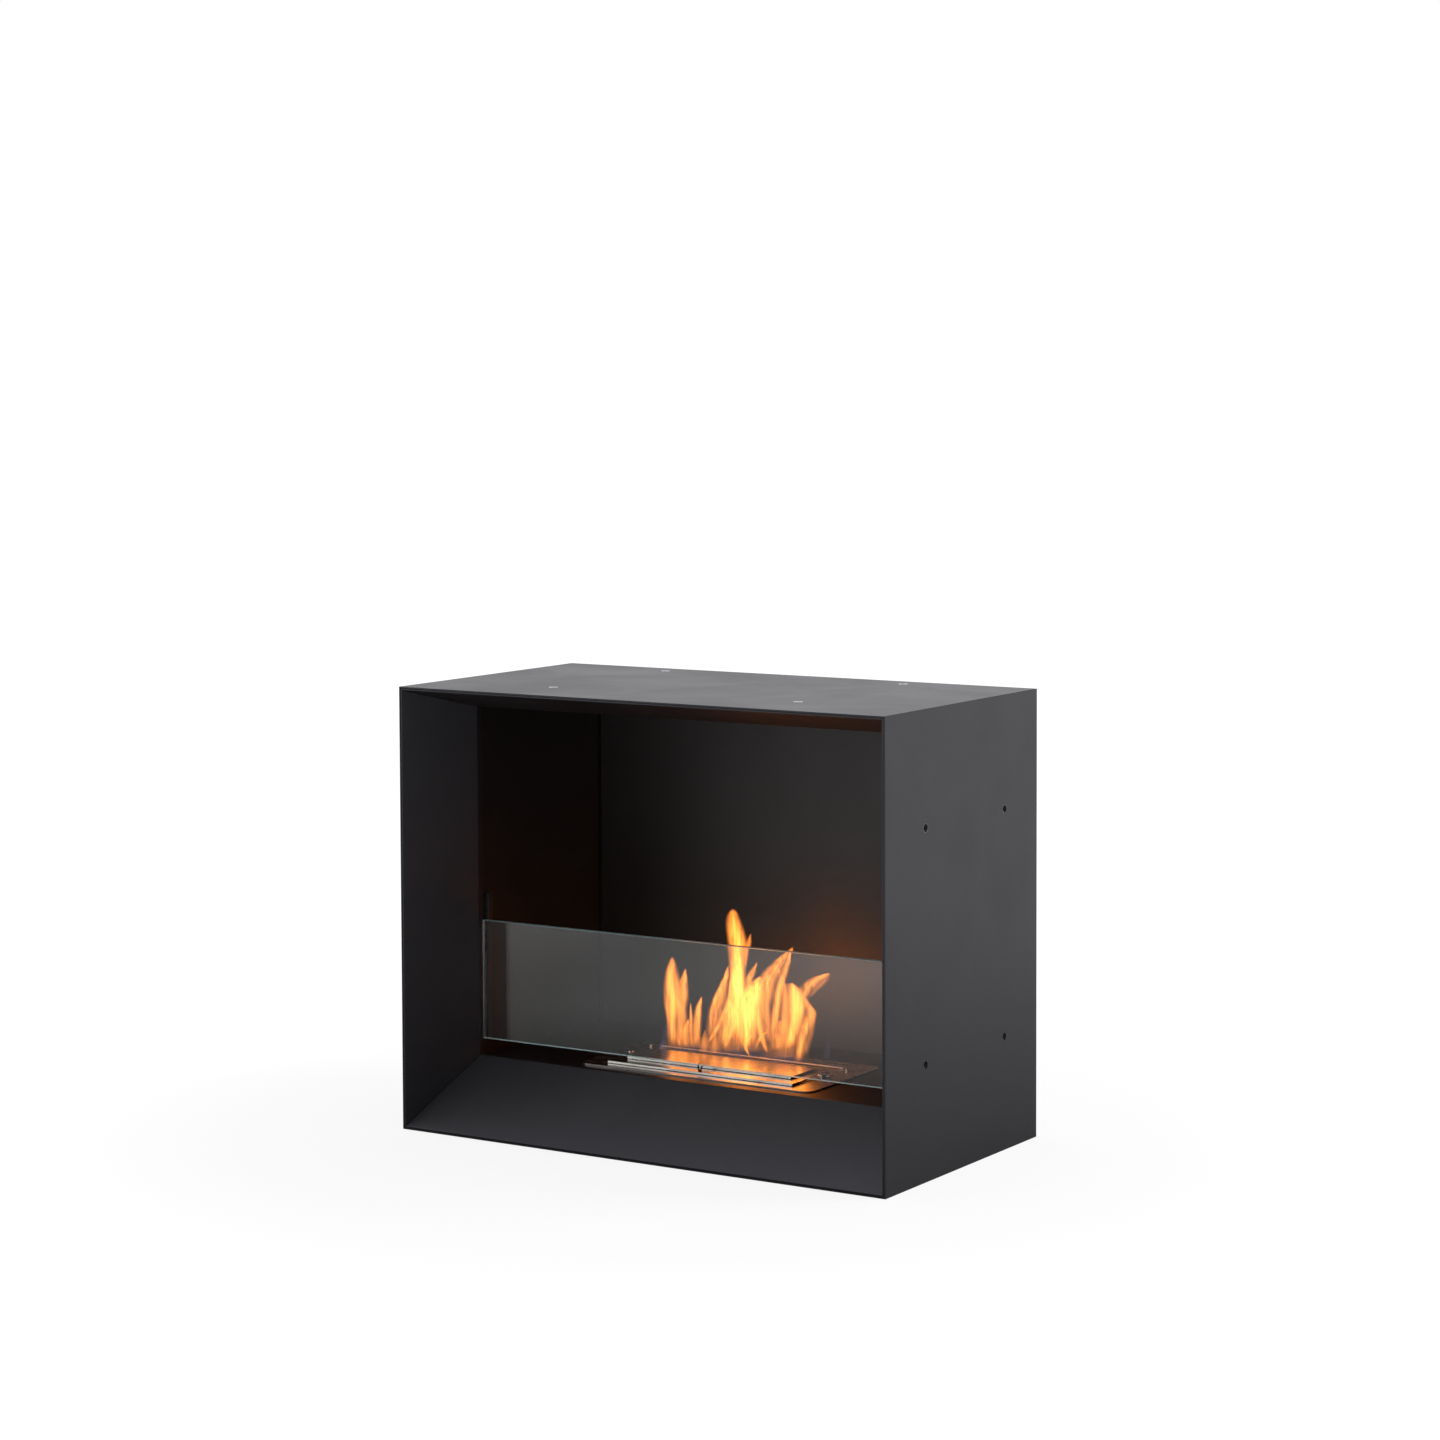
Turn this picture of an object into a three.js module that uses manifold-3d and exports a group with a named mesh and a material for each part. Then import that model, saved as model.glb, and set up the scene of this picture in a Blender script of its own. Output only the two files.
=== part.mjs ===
// Bioethanol fireplace: a sheet-steel casing with a splayed front, a firebox with a glass guard,
// and a stainless burner that hangs in the firebox floor.
// Millimetres. +Z is up, the front faces -Y, and the origin is the middle of the underside.
import * as THREE from "three";
import { mergeVertices } from "three/addons/utils/BufferGeometryUtils.js";
import Module from "manifold-3d";

// Casing
const WIDTH = 550;
const HEIGHT = 440;
const DEPTH = 300;
const SHEET = 1.5;
const EDGE_RADIUS = 0.5; // rounding of the casing's front edge
const NOSE_RADIUS = 0.8; // rounding of the fold at the front of each splay
const SPLAY_DEPTH = 78; // how far the splayed panels run back from the front edge
const SPLAY_TAB = 14; // flange that ties a splay to the inside of the casing wall
const SIDE_INSET = 37.5; // from the outer side face to the inner edge of a side splay
const TOP_INSET = 24.5;
const BOTTOM_INSET = 64.5;
const RETURN_FLANGE = 6.5; // short flange behind each splay, parallel to the casing wall
const REAR_LIP = 18; // inward lip that the back panel screws to
const REAR_BEND = 2; // outer radius of the fold between wall and lip

// Clearances
const GAP = 0.3; // between two pieces that rest on or are fixed to each other
const MITRE_SHIFT = 0.2; // each sheet stands back this much from a mitre
const CUT_MARGIN = 1; // cutting tools reach this far past a face
const MITRE_MARGIN = 5; // mitre planes run on this far past the splay's inner edge

// Facets of round forms
const BEND_STEPS = 3; // in a quarter of a fold
const ROUND_SEGMENTS = 12; // around studs, pins and screws
const NUT_SEGMENTS = 16;

// Back panel and its screws
const BACK_PANEL_INSET = 5; // from the casing's outer faces
const SCREW_HEAD_RADIUS = 3.75;
const SCREW_RADIUS = 1.9;
const SCREW_LENGTH = 9;
const SCREW_SOCKET = 1.4; // radius of the hexagon socket
const SCREW_SOCKET_DEPTH = 1.2;
const SCREW_SOCKET_SIDES = 6;
const SCREW_EDGE = 11.5; // from the casing's outer face to a screw's axis
const SCREW_COLUMN = 150; // the side screws sit this far above and below mid height, and at it
const SCREW_ROW = 180; // the top and bottom screws sit this far either side of the middle

// Weld nuts that carry the fireplace
const NUT_PILOT_RADIUS = 4.6;
const NUT_BODY_RADIUS = 6.5;
const NUT_THREAD_RADIUS = 2.6;
const NUT_MOUTH_RADIUS = 3.9;
const NUT_MOUTH_DEPTH = 2.2;
const NUT_LENGTH = 10;
const TOP_NUT_SPACING = 280; // across the top, about its middle
const TOP_NUT_FROM_FRONT = 72;
const TOP_NUT_FROM_BACK = 28;
const SIDE_NUT_SPACING = 220; // up the side, about mid height
const SIDE_NUT_FROM_FRONT = 75;
const SIDE_NUT_FROM_BACK = 70;

// Firebox
const WALL_SETBACK = 2.5; // firebox walls stand this far outside the return flanges
const WRAP_BEND = 2; // inner bend radius of the firebox wrap
const WRAP_LIP_GAP = 2; // clear height above the bottom lip and below the top lip
const WRAP_FRONT = 81;
const FLOOR_STEP = 2; // floor lies this far under the bottom splay's edge
const BRACKET_LEG = 20;
const BRACKET_LAP = 17; // how far a bracket stands up the wrap
const BRACKET_END = 10; // brackets stop this far from the wrap's ends

// Glass guard
const GLASS_THICKNESS = 5;
const GLASS_HEIGHT = 120;
const GLASS_ABOVE_FLOOR = 17.5;
const GLASS_END_GAP = 0.8;
const GLASS_FRONT_GAP = 1;
const GLASS_REAR_GAP = 0.6;
const GUIDE_WIDTH = 4.5; // out from the firebox wall
const GUIDE_DEPTH = 7;
const GUIDE_HEIGHT = 149;
const GUIDE_FOOT = 2;

// Burner
const BURNER_Y = 171; // middle of the burner, from the front edge
const FLANGE_LENGTH = 270;
const FLANGE_DEPTH = 140;
const FLANGE_CORNER = 12;
const STEEL = 1.2;
const MOUTH_LENGTH = 210; // opening in the flange
const MOUTH_DEPTH = 66;
const MOUTH_SHIFT = 7; // middle of the mouth behind the middle of the flange
const TANK_ABOVE_BASE = 10.5; // clear space between the tank and the casing's bottom sheet
const TANK_CLEARANCE = 3; // between the tank and the floor's cut-out
const WOOL_HEIGHT = 36;
const WOOL_CLEARANCE = 0.6;
const RAIL_DEPTH = 3;
const RAIL_HEIGHT = 1;
const RAIL_OVERHANG = 2; // past each end of the mouth

// Slider that closes the burner
const SLIDER_TRAVEL = 28; // from fully open, as modelled, to closed
const SLIDER_END_LAP = 2; // the slider's plate over each end of the mouth
const SLIDER_FRONT_LAP = 3; // the closed slider over the mouth's front edge
const SLIDER_LIFT = 1.3; // the slider's plate above the flange
const EAR_REACH = 11;
const EAR_DEPTH = 9;
const EAR_SETBACK = 8; // from the slider's rear edge
const COVER_LENGTH = 190;
const COVER_DEPTH = 50;
const COVER_REAR_SETBACK = 2; // from the slider's rear edge
const COVER_LIFT = 1.6; // the cover's plate above the slider's plate
const COVER_SHEET = 1;
const STUD_RADIUS = 1.5;
const STUD_SIDE_GAP = 3.2; // between a guide stud and the slider's end
const STUD_HEAD_RADIUS = 4.4;
const STUD_HEAD_HEIGHT = 1.6;
const STUD_DOME_RADIUS = 3.5; // where the head's dome begins
const STUD_DOME_HEIGHT = 1.1;
const STUD_CROWN_RADIUS = 1.8; // flat on top of the dome
const STOP_GAP = 1.2; // between an ear and the stud or pin that stops it
const STOP_PIN_RADIUS = 1.6;
const STOP_PIN_HEIGHT = 2.4;
const STOP_PIN_INSET = 3; // from an ear's tip to its stop pin
const EYE_RING_RADIUS = 3.2;
const EYE_WIRE_RADIUS = 0.8;
const EYE_SINK = 0.4; // the ring's wire into its base
const EYE_BASE_RADIUS = 2.2;
const EYE_BASE_HEIGHT = 0.6;
const EYE_FROM_EDGE = 3;
const EYE_WIRE_SEGMENTS = 6;
const EYE_RING_SEGMENTS = 18;

// Places worked out from the dimensions above. Depths are measured back from the front edge.
const FRONT = -DEPTH / 2;
const CASING_BACK = DEPTH - SHEET - GAP;
const WALL_INNER_X = WIDTH / 2 - SIDE_INSET + WALL_SETBACK;
const WALL_OUTER_X = WALL_INNER_X + SHEET;
const WRAP_BACK = CASING_BACK - SHEET; // depth of the firebox's back wall, seen from inside
const FLANGE_END = SPLAY_DEPTH + RETURN_FLANGE;
const SPLAY_OUTSIDE = SHEET + GAP; // a splay's tab, in from the casing's outer face
const SPLAY_EDGE = SPLAY_OUTSIDE + SHEET; // where the splay's face starts
const WRAP_END = REAR_LIP + WRAP_LIP_GAP;
const BRACKET_HEIGHT = WRAP_END + BRACKET_LAP;
const FLOOR_TOP = BOTTOM_INSET - FLOOR_STEP;
const CEILING_UNDER = HEIGHT - TOP_INSET + SHEET + GAP;
const GLASS_FRONT = FLANGE_END + GLASS_FRONT_GAP;
const GLASS_BOTTOM = FLOOR_TOP + GLASS_ABOVE_FLOOR;
const FLANGE_UNDER = FLOOR_TOP + GAP;
const FLANGE_TOP = FLANGE_UNDER + STEEL;
const TANK_TOP = FLANGE_UNDER - GAP;
const TANK_BOTTOM = SHEET + TANK_ABOVE_BASE;
const MOUTH_FRONT = BURNER_Y + MOUTH_SHIFT - MOUTH_DEPTH / 2;
const MOUTH_REAR = MOUTH_FRONT + MOUTH_DEPTH;
const SLIDER_LENGTH = MOUTH_LENGTH + 2 * SLIDER_END_LAP;
const SLIDER_REAR = MOUTH_REAR - SLIDER_TRAVEL;
const SLIDER_FRONT = SLIDER_REAR - MOUTH_DEPTH - SLIDER_FRONT_LAP;
const COVER_REAR = SLIDER_REAR - COVER_REAR_SETBACK;
const COVER_FRONT = COVER_REAR - COVER_DEPTH;
const STUD_X = SLIDER_LENGTH / 2 + STUD_SIDE_GAP + STUD_RADIUS;
const EAR_REAR = SLIDER_REAR - EAR_SETBACK;
const EAR_FRONT = EAR_REAR - EAR_DEPTH;
const STUD_Y = EAR_FRONT - STOP_GAP - STUD_RADIUS;
const STOP_PIN_X = SLIDER_LENGTH / 2 + EAR_REACH - STOP_PIN_INSET;
const STOP_PIN_Y = EAR_REAR + SLIDER_TRAVEL + STOP_GAP + STOP_PIN_RADIUS;
const SLIDER_UNDER = FLANGE_TOP + SLIDER_LIFT;
const SLIDER_TOP = SLIDER_UNDER + STEEL;
const COVER_UNDER = SLIDER_TOP + COVER_LIFT;

const wasm = await Module();
wasm.setup();

// A closed three.js geometry as a solid for joining and cutting.
function toSolid(geometry) {
  const flat = geometry.index ? geometry.toNonIndexed() : geometry;
  const bare = new THREE.BufferGeometry();
  bare.setAttribute("position", flat.getAttribute("position"));
  const merged = mergeVertices(bare, 1e-4);
  const mesh = new wasm.Mesh({
    numProp: 3,
    vertProperties: merged.attributes.position.array,
    triVerts: new Uint32Array(merged.index.array),
  });
  return new wasm.Manifold(mesh);
}

function toGeometry(solid) {
  const mesh = solid.getMesh();
  const geometry = new THREE.BufferGeometry();
  geometry.setAttribute("position", new THREE.BufferAttribute(mesh.vertProperties, 3));
  geometry.setIndex(new THREE.BufferAttribute(mesh.triVerts, 1));
  return geometry.toNonIndexed();
}

function cut(geometry, tools) {
  const solid = tools.reduce((rest, tool) => rest.subtract(toSolid(tool)), toSolid(geometry));
  return toGeometry(solid);
}

function join(geometries) {
  const solids = geometries.map(toSolid);
  return toGeometry(solids.reduce((all, next) => all.add(next)));
}

function keepInside(geometry, space) {
  return toGeometry(toSolid(geometry).intersect(toSolid(space)));
}

// An outline extruded along local Z, from 0 to the given length.
function extrude(points, length, curveSegments = 6) {
  const isShape = points instanceof THREE.Shape;
  const outline = isShape ? points : new THREE.Shape(points.map(([a, b]) => new THREE.Vector2(a, b)));
  return new THREE.ExtrudeGeometry(outline, { depth: length, bevelEnabled: false, curveSegments });
}

// Outlines given as [y, z], [x, z] and [x, y], extruded along X, Y and Z between two places.
function alongX(points, from, to) {
  const basis = new THREE.Matrix4().makeBasis(
    new THREE.Vector3(0, 1, 0),
    new THREE.Vector3(0, 0, 1),
    new THREE.Vector3(1, 0, 0),
  );
  return extrude(points, to - from).applyMatrix4(basis).translate(from, 0, 0);
}

function alongY(points, from, to) {
  const basis = new THREE.Matrix4().makeBasis(
    new THREE.Vector3(1, 0, 0),
    new THREE.Vector3(0, 0, 1),
    new THREE.Vector3(0, -1, 0),
  );
  return extrude(points, to - from).applyMatrix4(basis).translate(0, to, 0);
}

function alongZ(points, from, to) {
  return extrude(points, to - from).translate(0, 0, from);
}

// A block between two opposite corners.
function block(x0, x1, y0, y1, z0, z1) {
  const box = new THREE.BoxGeometry(x1 - x0, y1 - y0, z1 - z0);
  return box.translate((x0 + x1) / 2, (y0 + y1) / 2, (z0 + z1) / 2);
}

// A vertical round bar between two heights.
function bar(radius, x, y, z0, z1, segments = ROUND_SEGMENTS) {
  const cylinder = new THREE.CylinderGeometry(radius, radius, z1 - z0, segments);
  return cylinder.rotateX(Math.PI / 2).translate(x, y, (z0 + z1) / 2);
}

// A turned piece about +Z from [radius, height] points.
function turn(profile, segments) {
  const points = profile.map(([radius, height]) => new THREE.Vector2(radius, height));
  return new THREE.LatheGeometry(points, segments).rotateX(Math.PI / 2);
}

const root = new THREE.Group();

function add(name, geometry, material) {
  const mesh = new THREE.Mesh(geometry, material);
  mesh.name = name;
  root.add(mesh);
  return mesh;
}

const blackPaint = () => new THREE.MeshStandardMaterial({ color: 0x232326, roughness: 0.55, metalness: 0.2 });
const fireboxPaint = () => new THREE.MeshStandardMaterial({ color: 0x141415, roughness: 0.6, metalness: 0 });
const zinc = () => new THREE.MeshStandardMaterial({ color: 0xb9bcc0, roughness: 0.4, metalness: 0.9 });
const blackScrew = () => new THREE.MeshStandardMaterial({ color: 0x18181a, roughness: 0.45, metalness: 0.6 });
const stainless = () => new THREE.MeshStandardMaterial({ color: 0xc4c0ba, roughness: 0.3, metalness: 1 });
const clearGlass = () =>
  new THREE.MeshStandardMaterial({ color: 0xdff0ec, roughness: 0.03, transparent: true, opacity: 0.3 });
const ceramicWool = () => new THREE.MeshStandardMaterial({ color: 0xe6e1d6, roughness: 0.95 });

// Casing: four wall sheets and, in front, four splay sheets, all mitred at the corners.
// Their folds are outlines of [distance in from the casing's outer face, depth from the front edge].

// A quarter round between two edges, drawn from the first to the second.
function quarterRound(distance, depth, radius, from) {
  return Array.from({ length: BEND_STEPS + 1 }, (_, i) => {
    const angle = from + (i / BEND_STEPS) * (Math.PI / 2);
    return [distance + radius * Math.cos(angle), depth + radius * Math.sin(angle)];
  });
}

function wallFold() {
  return [
    ...quarterRound(REAR_BEND, CASING_BACK - REAR_BEND, REAR_BEND, Math.PI / 2),
    ...quarterRound(EDGE_RADIUS, EDGE_RADIUS, EDGE_RADIUS, Math.PI),
    [SHEET, 0],
    [SHEET, CASING_BACK - SHEET],
    [REAR_LIP, CASING_BACK - SHEET],
    [REAR_LIP, CASING_BACK],
  ];
}

function splayFold(inset) {
  const slope = SPLAY_DEPTH / (inset - SPLAY_EDGE);
  const behind = SHEET * Math.hypot(1, slope);
  return [
    [SPLAY_OUTSIDE, SPLAY_TAB],
    ...quarterRound(SPLAY_OUTSIDE + NOSE_RADIUS, NOSE_RADIUS, NOSE_RADIUS, Math.PI),
    [SPLAY_EDGE, 0],
    [inset, SPLAY_DEPTH],
    [inset, FLANGE_END],
    [inset - SHEET, FLANGE_END],
    [inset - SHEET, slope * (inset - SHEET - SPLAY_EDGE) + behind],
    [SPLAY_EDGE, behind],
    [SPLAY_EDGE, SPLAY_TAB],
  ];
}

// Mitres, seen from the front: distance up or down from the corner at a distance in from the side face.
const wallMitre = (distance) => distance;

function splayMitre(inset) {
  const slope = (inset - SPLAY_EDGE) / (SIDE_INSET - SPLAY_EDGE);
  return (distance) => Math.min(distance, SPLAY_EDGE) + slope * Math.max(distance - SPLAY_EDGE, 0);
}

const MITRE_POINTS = [-CUT_MARGIN, SPLAY_EDGE, SIDE_INSET + MITRE_MARGIN];

// Everything a side sheet may fill, seen from the front, and everything a top or bottom sheet may.
function sideSpace(side, lowMitre, highMitre) {
  const edge = (heightAt) => MITRE_POINTS.map((d) => [side * (WIDTH / 2 - d), heightAt(d)]);
  const low = edge((d) => lowMitre(d) + MITRE_SHIFT);
  const high = edge((d) => HEIGHT - highMitre(d) - MITRE_SHIFT);
  return alongY([...low, ...high.reverse()], FRONT - CUT_MARGIN, FRONT + DEPTH + CUT_MARGIN);
}

function endSpace(heightAt, mitre) {
  const left = MITRE_POINTS.map((d) => [-WIDTH / 2 + d + MITRE_SHIFT, heightAt(mitre(d))]);
  const right = left.map(([x, z]) => [-x, z]).reverse();
  return alongY([...left, ...right], FRONT - CUT_MARGIN, FRONT + DEPTH + CUT_MARGIN);
}

function sideSheet(fold, side, lowMitre, highMitre) {
  const outline = fold.map(([d, depth]) => [side * (WIDTH / 2 - d), FRONT + depth]);
  return keepInside(alongZ(outline, 0, HEIGHT), sideSpace(side, lowMitre, highMitre));
}

function endSheet(fold, heightAt, mitre) {
  const outline = fold.map(([d, depth]) => [FRONT + depth, heightAt(d)]);
  return keepInside(alongX(outline, -WIDTH / 2, WIDTH / 2), endSpace(heightAt, mitre));
}

// A hole for a weld nut, through a casing sheet.
function nutHole(x, y, z, axis) {
  const radius = NUT_PILOT_RADIUS + GAP;
  const hole = new THREE.CylinderGeometry(radius, radius, 2 * (SHEET + CUT_MARGIN), NUT_SEGMENTS);
  if (axis === "x") hole.rotateZ(Math.PI / 2);
  if (axis === "z") hole.rotateX(Math.PI / 2);
  return hole.translate(x, y, z);
}

// Places of the back panel's screws, [x, z], in one side sheet and in the top or bottom sheet.
function sideScrewPlaces(side) {
  return [-1, 0, 1].map((k) => [side * (WIDTH / 2 - SCREW_EDGE), HEIGHT / 2 + k * SCREW_COLUMN]);
}

function endScrewPlaces(height) {
  return [-1, 1].map((k) => [k * SCREW_ROW, height]);
}

// Places of the weld nuts: [x, depth] in the top and [depth, z] in each side.
const topNutPlaces = [TOP_NUT_FROM_FRONT, DEPTH - TOP_NUT_FROM_BACK].flatMap((depth) =>
  [-1, 1].map((k) => [(k * TOP_NUT_SPACING) / 2, depth]),
);
const sideNutPlaces = [SIDE_NUT_FROM_FRONT, DEPTH - SIDE_NUT_FROM_BACK].flatMap((depth) =>
  [-1, 1].map((k) => [depth, HEIGHT / 2 + (k * SIDE_NUT_SPACING) / 2]),
);

for (const [name, side] of [["left", -1], ["right", 1]]) {
  const wall = sideSheet(wallFold(), side, wallMitre, wallMitre);
  const nutHoles = sideNutPlaces.map(([depth, z]) => nutHole(side * (WIDTH / 2), FRONT + depth, z, "x"));
  const screwHoles = sideScrewPlaces(side).map(([x, z]) => screwHole(x, z));
  add(`casing_${name}`, cut(wall, [...nutHoles, ...screwHoles]), blackPaint());
  const splay = sideSheet(splayFold(SIDE_INSET), side, splayMitre(BOTTOM_INSET), splayMitre(TOP_INSET));
  add(`splay_${name}`, splay, blackPaint());
}

for (const [name, inset, heightAt, nutPlaces] of [
  ["top", TOP_INSET, (d) => HEIGHT - d, topNutPlaces],
  ["bottom", BOTTOM_INSET, (d) => d, []],
]) {
  const wall = endSheet(wallFold(), heightAt, wallMitre);
  const nutHoles = nutPlaces.map(([x, depth]) => nutHole(x, FRONT + depth, heightAt(0), "z"));
  const screwHoles = endScrewPlaces(heightAt(SCREW_EDGE)).map(([x, z]) => screwHole(x, z));
  add(`casing_${name}`, cut(wall, [...nutHoles, ...screwHoles]), blackPaint());
  add(`splay_${name}`, endSheet(splayFold(inset), heightAt, splayMitre(inset)), blackPaint());
}

// Back panel: a flat sheet held to the casing's lips by countersunk screws.

// A hole for a back panel screw, countersunk where it leaves the back face.
function screwHole(x, z) {
  const rim = SCREW_HEAD_RADIUS + GAP;
  const shank = SCREW_RADIUS + GAP;
  const profile = [
    [0, -SCREW_LENGTH - CUT_MARGIN],
    [shank, -SCREW_LENGTH - CUT_MARGIN],
    [shank, shank - rim],
    [rim, 0],
    [rim, CUT_MARGIN],
    [0, CUT_MARGIN],
  ];
  return turn(profile, ROUND_SEGMENTS).rotateX(-Math.PI / 2).translate(x, FRONT + DEPTH, z);
}

function backScrew(x, z) {
  const profile = [
    [0, -SCREW_LENGTH],
    [SCREW_RADIUS, -SCREW_LENGTH],
    [SCREW_RADIUS, SCREW_RADIUS - SCREW_HEAD_RADIUS],
    [SCREW_HEAD_RADIUS, 0],
    [0, 0],
  ];
  const socket = bar(SCREW_SOCKET, 0, 0, -SCREW_SOCKET_DEPTH, CUT_MARGIN, SCREW_SOCKET_SIDES);
  return cut(turn(profile, ROUND_SEGMENTS), [socket]).rotateX(-Math.PI / 2).translate(x, FRONT + DEPTH, z);
}

const screwPlaces = [
  ...[-1, 1].flatMap(sideScrewPlaces),
  ...[SCREW_EDGE, HEIGHT - SCREW_EDGE].flatMap(endScrewPlaces),
];

const backBlank = block(
  -WIDTH / 2 + BACK_PANEL_INSET,
  WIDTH / 2 - BACK_PANEL_INSET,
  FRONT + DEPTH - SHEET,
  FRONT + DEPTH,
  BACK_PANEL_INSET,
  HEIGHT - BACK_PANEL_INSET,
);
add("back_panel", cut(backBlank, screwPlaces.map(([x, z]) => screwHole(x, z))), blackPaint());
screwPlaces.forEach(([x, z], i) => add(`back_panel_screw_${i + 1}`, backScrew(x, z), blackScrew()));

// Weld nuts: flush in the casing's holes, four in the top and four in each side.
function weldNut() {
  const inside = -SHEET - GAP;
  return turn(
    [
      [NUT_THREAD_RADIUS, -NUT_LENGTH],
      [NUT_BODY_RADIUS, -NUT_LENGTH],
      [NUT_BODY_RADIUS, inside],
      [NUT_PILOT_RADIUS, inside],
      [NUT_PILOT_RADIUS, 0],
      [NUT_MOUTH_RADIUS, 0],
      [NUT_MOUTH_RADIUS, -NUT_MOUTH_DEPTH],
      [NUT_THREAD_RADIUS, -NUT_MOUTH_DEPTH],
      [NUT_THREAD_RADIUS, -NUT_LENGTH],
    ],
    NUT_SEGMENTS,
  );
}

topNutPlaces.forEach(([x, depth], i) => {
  add(`mount_nut_top_${i + 1}`, weldNut().translate(x, FRONT + depth, HEIGHT), zinc());
});
for (const [name, side] of [["left", -1], ["right", 1]]) {
  sideNutPlaces.forEach(([depth, z], i) => {
    const nut = weldNut().rotateY((side * Math.PI) / 2).translate((side * WIDTH) / 2, FRONT + depth, z);
    add(`mount_nut_${name}_${i + 1}`, nut, zinc());
  });
}

// Firebox: a wrap folded from one sheet, a ceiling tray, and a floor tray with a cut-out for the burner.
function wrapOutline() {
  const bend = (x, y, radius, from, to) =>
    Array.from({ length: BEND_STEPS + 1 }, (_, i) => {
      const angle = from + ((to - from) * i) / BEND_STEPS;
      return [x + radius * Math.cos(angle), y + radius * Math.sin(angle)];
    });
  const x = WALL_INNER_X - WRAP_BEND;
  const y = FRONT + WRAP_BACK - WRAP_BEND;
  const inner = [
    ...bend(-x, y, WRAP_BEND, Math.PI, Math.PI / 2),
    ...bend(x, y, WRAP_BEND, Math.PI / 2, 0),
  ];
  const outer = [
    ...bend(x, y, WRAP_BEND + SHEET, 0, Math.PI / 2),
    ...bend(-x, y, WRAP_BEND + SHEET, Math.PI / 2, Math.PI),
  ];
  return [
    [-WALL_INNER_X, FRONT + WRAP_FRONT],
    ...inner,
    [WALL_INNER_X, FRONT + WRAP_FRONT],
    [WALL_OUTER_X, FRONT + WRAP_FRONT],
    ...outer,
    [-WALL_OUTER_X, FRONT + WRAP_FRONT],
  ];
}
add("firebox_wrap", alongZ(wrapOutline(), WRAP_END, HEIGHT - WRAP_END), fireboxPaint());

// Angle brackets that tie the wrap to the casing's bottom and top.
for (const [name, side] of [["left", -1], ["right", 1]]) {
  for (const [end, heightAt] of [["bottom", (d) => d], ["top", (d) => HEIGHT - d]]) {
    const near = WALL_OUTER_X + GAP;
    const base = SHEET + GAP;
    const outline = [
      [near, base],
      [near + BRACKET_LEG, base],
      [near + BRACKET_LEG, base + SHEET],
      [near + SHEET, base + SHEET],
      [near + SHEET, base + BRACKET_HEIGHT],
      [near, base + BRACKET_HEIGHT],
    ].map(([x, z]) => [side * x, heightAt(z)]);
    const bracket = alongY(outline, FRONT + WRAP_FRONT + BRACKET_END, FRONT + WRAP_BACK - BRACKET_END);
    add(`liner_bracket_${end}_${name}`, bracket, zinc());
  }
}

const floorHalf = WALL_INNER_X - GAP;
const panelFront = FRONT + FLANGE_END + GAP;
const panelBack = FRONT + WRAP_BACK - WRAP_BEND - GAP;
// The burner's tank, seen from above: the mouth plus the tank's own wall.
const tank = {
  x: MOUTH_LENGTH / 2 + STEEL,
  front: FRONT + MOUTH_FRONT - STEEL,
  back: FRONT + MOUTH_REAR + STEEL,
};

// A tray as wide as the firebox: a face at one height, and side flanges that reach to another.
function tray(face, flangeEnd) {
  const inner = face + Math.sign(flangeEnd - face) * SHEET;
  return [
    [-floorHalf, flangeEnd],
    [-floorHalf, face],
    [floorHalf, face],
    [floorHalf, flangeEnd],
    [floorHalf - SHEET, flangeEnd],
    [floorHalf - SHEET, inner],
    [-floorHalf + SHEET, inner],
    [-floorHalf + SHEET, flangeEnd],
  ];
}

const ceiling = alongY(tray(CEILING_UNDER, HEIGHT - SHEET - GAP), FRONT + WRAP_FRONT, panelBack);
add("firebox_ceiling", ceiling, fireboxPaint());
const floorCutOut = block(
  -tank.x - TANK_CLEARANCE,
  tank.x + TANK_CLEARANCE,
  tank.front - TANK_CLEARANCE,
  tank.back + TANK_CLEARANCE,
  FLOOR_TOP - 2 * SHEET,
  FLOOR_TOP + SHEET,
);
const floor = alongY(tray(FLOOR_TOP, SHEET + GAP), panelFront, panelBack);
add("firebox_floor", cut(floor, [floorCutOut]), fireboxPaint());

// Glass guard: a loose pane that stands in two guides and lifts out upwards.
const glassHalf = WALL_INNER_X - GLASS_END_GAP;
const glassY = FRONT + GLASS_FRONT;
const glassPane = block(
  -glassHalf,
  glassHalf,
  glassY,
  glassY + GLASS_THICKNESS,
  GLASS_BOTTOM,
  GLASS_BOTTOM + GLASS_HEIGHT,
);
add("glass_panel", glassPane, clearGlass());

for (const [name, side] of [["left", -1], ["right", 1]]) {
  const rear = glassY + GLASS_THICKNESS + GLASS_REAR_GAP;
  const outline = [
    [panelFront, GLASS_BOTTOM - GAP - GUIDE_FOOT],
    [rear + GUIDE_DEPTH, GLASS_BOTTOM - GAP - GUIDE_FOOT],
    [rear + GUIDE_DEPTH, GLASS_BOTTOM - GAP - GUIDE_FOOT + GUIDE_HEIGHT],
    [rear, GLASS_BOTTOM - GAP - GUIDE_FOOT + GUIDE_HEIGHT],
    [rear, GLASS_BOTTOM - GAP],
    [panelFront, GLASS_BOTTOM - GAP],
  ];
  const near = side * (WALL_INNER_X - GAP - GUIDE_WIDTH);
  const far = side * (WALL_INNER_X - GAP);
  add(`glass_guide_${name}`, alongX(outline, Math.min(near, far), Math.max(near, far)), blackScrew());
}

// Burner: flange, tank, ceramic wool and the rail behind the mouth.
const burnerY = FRONT + BURNER_Y;

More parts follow.
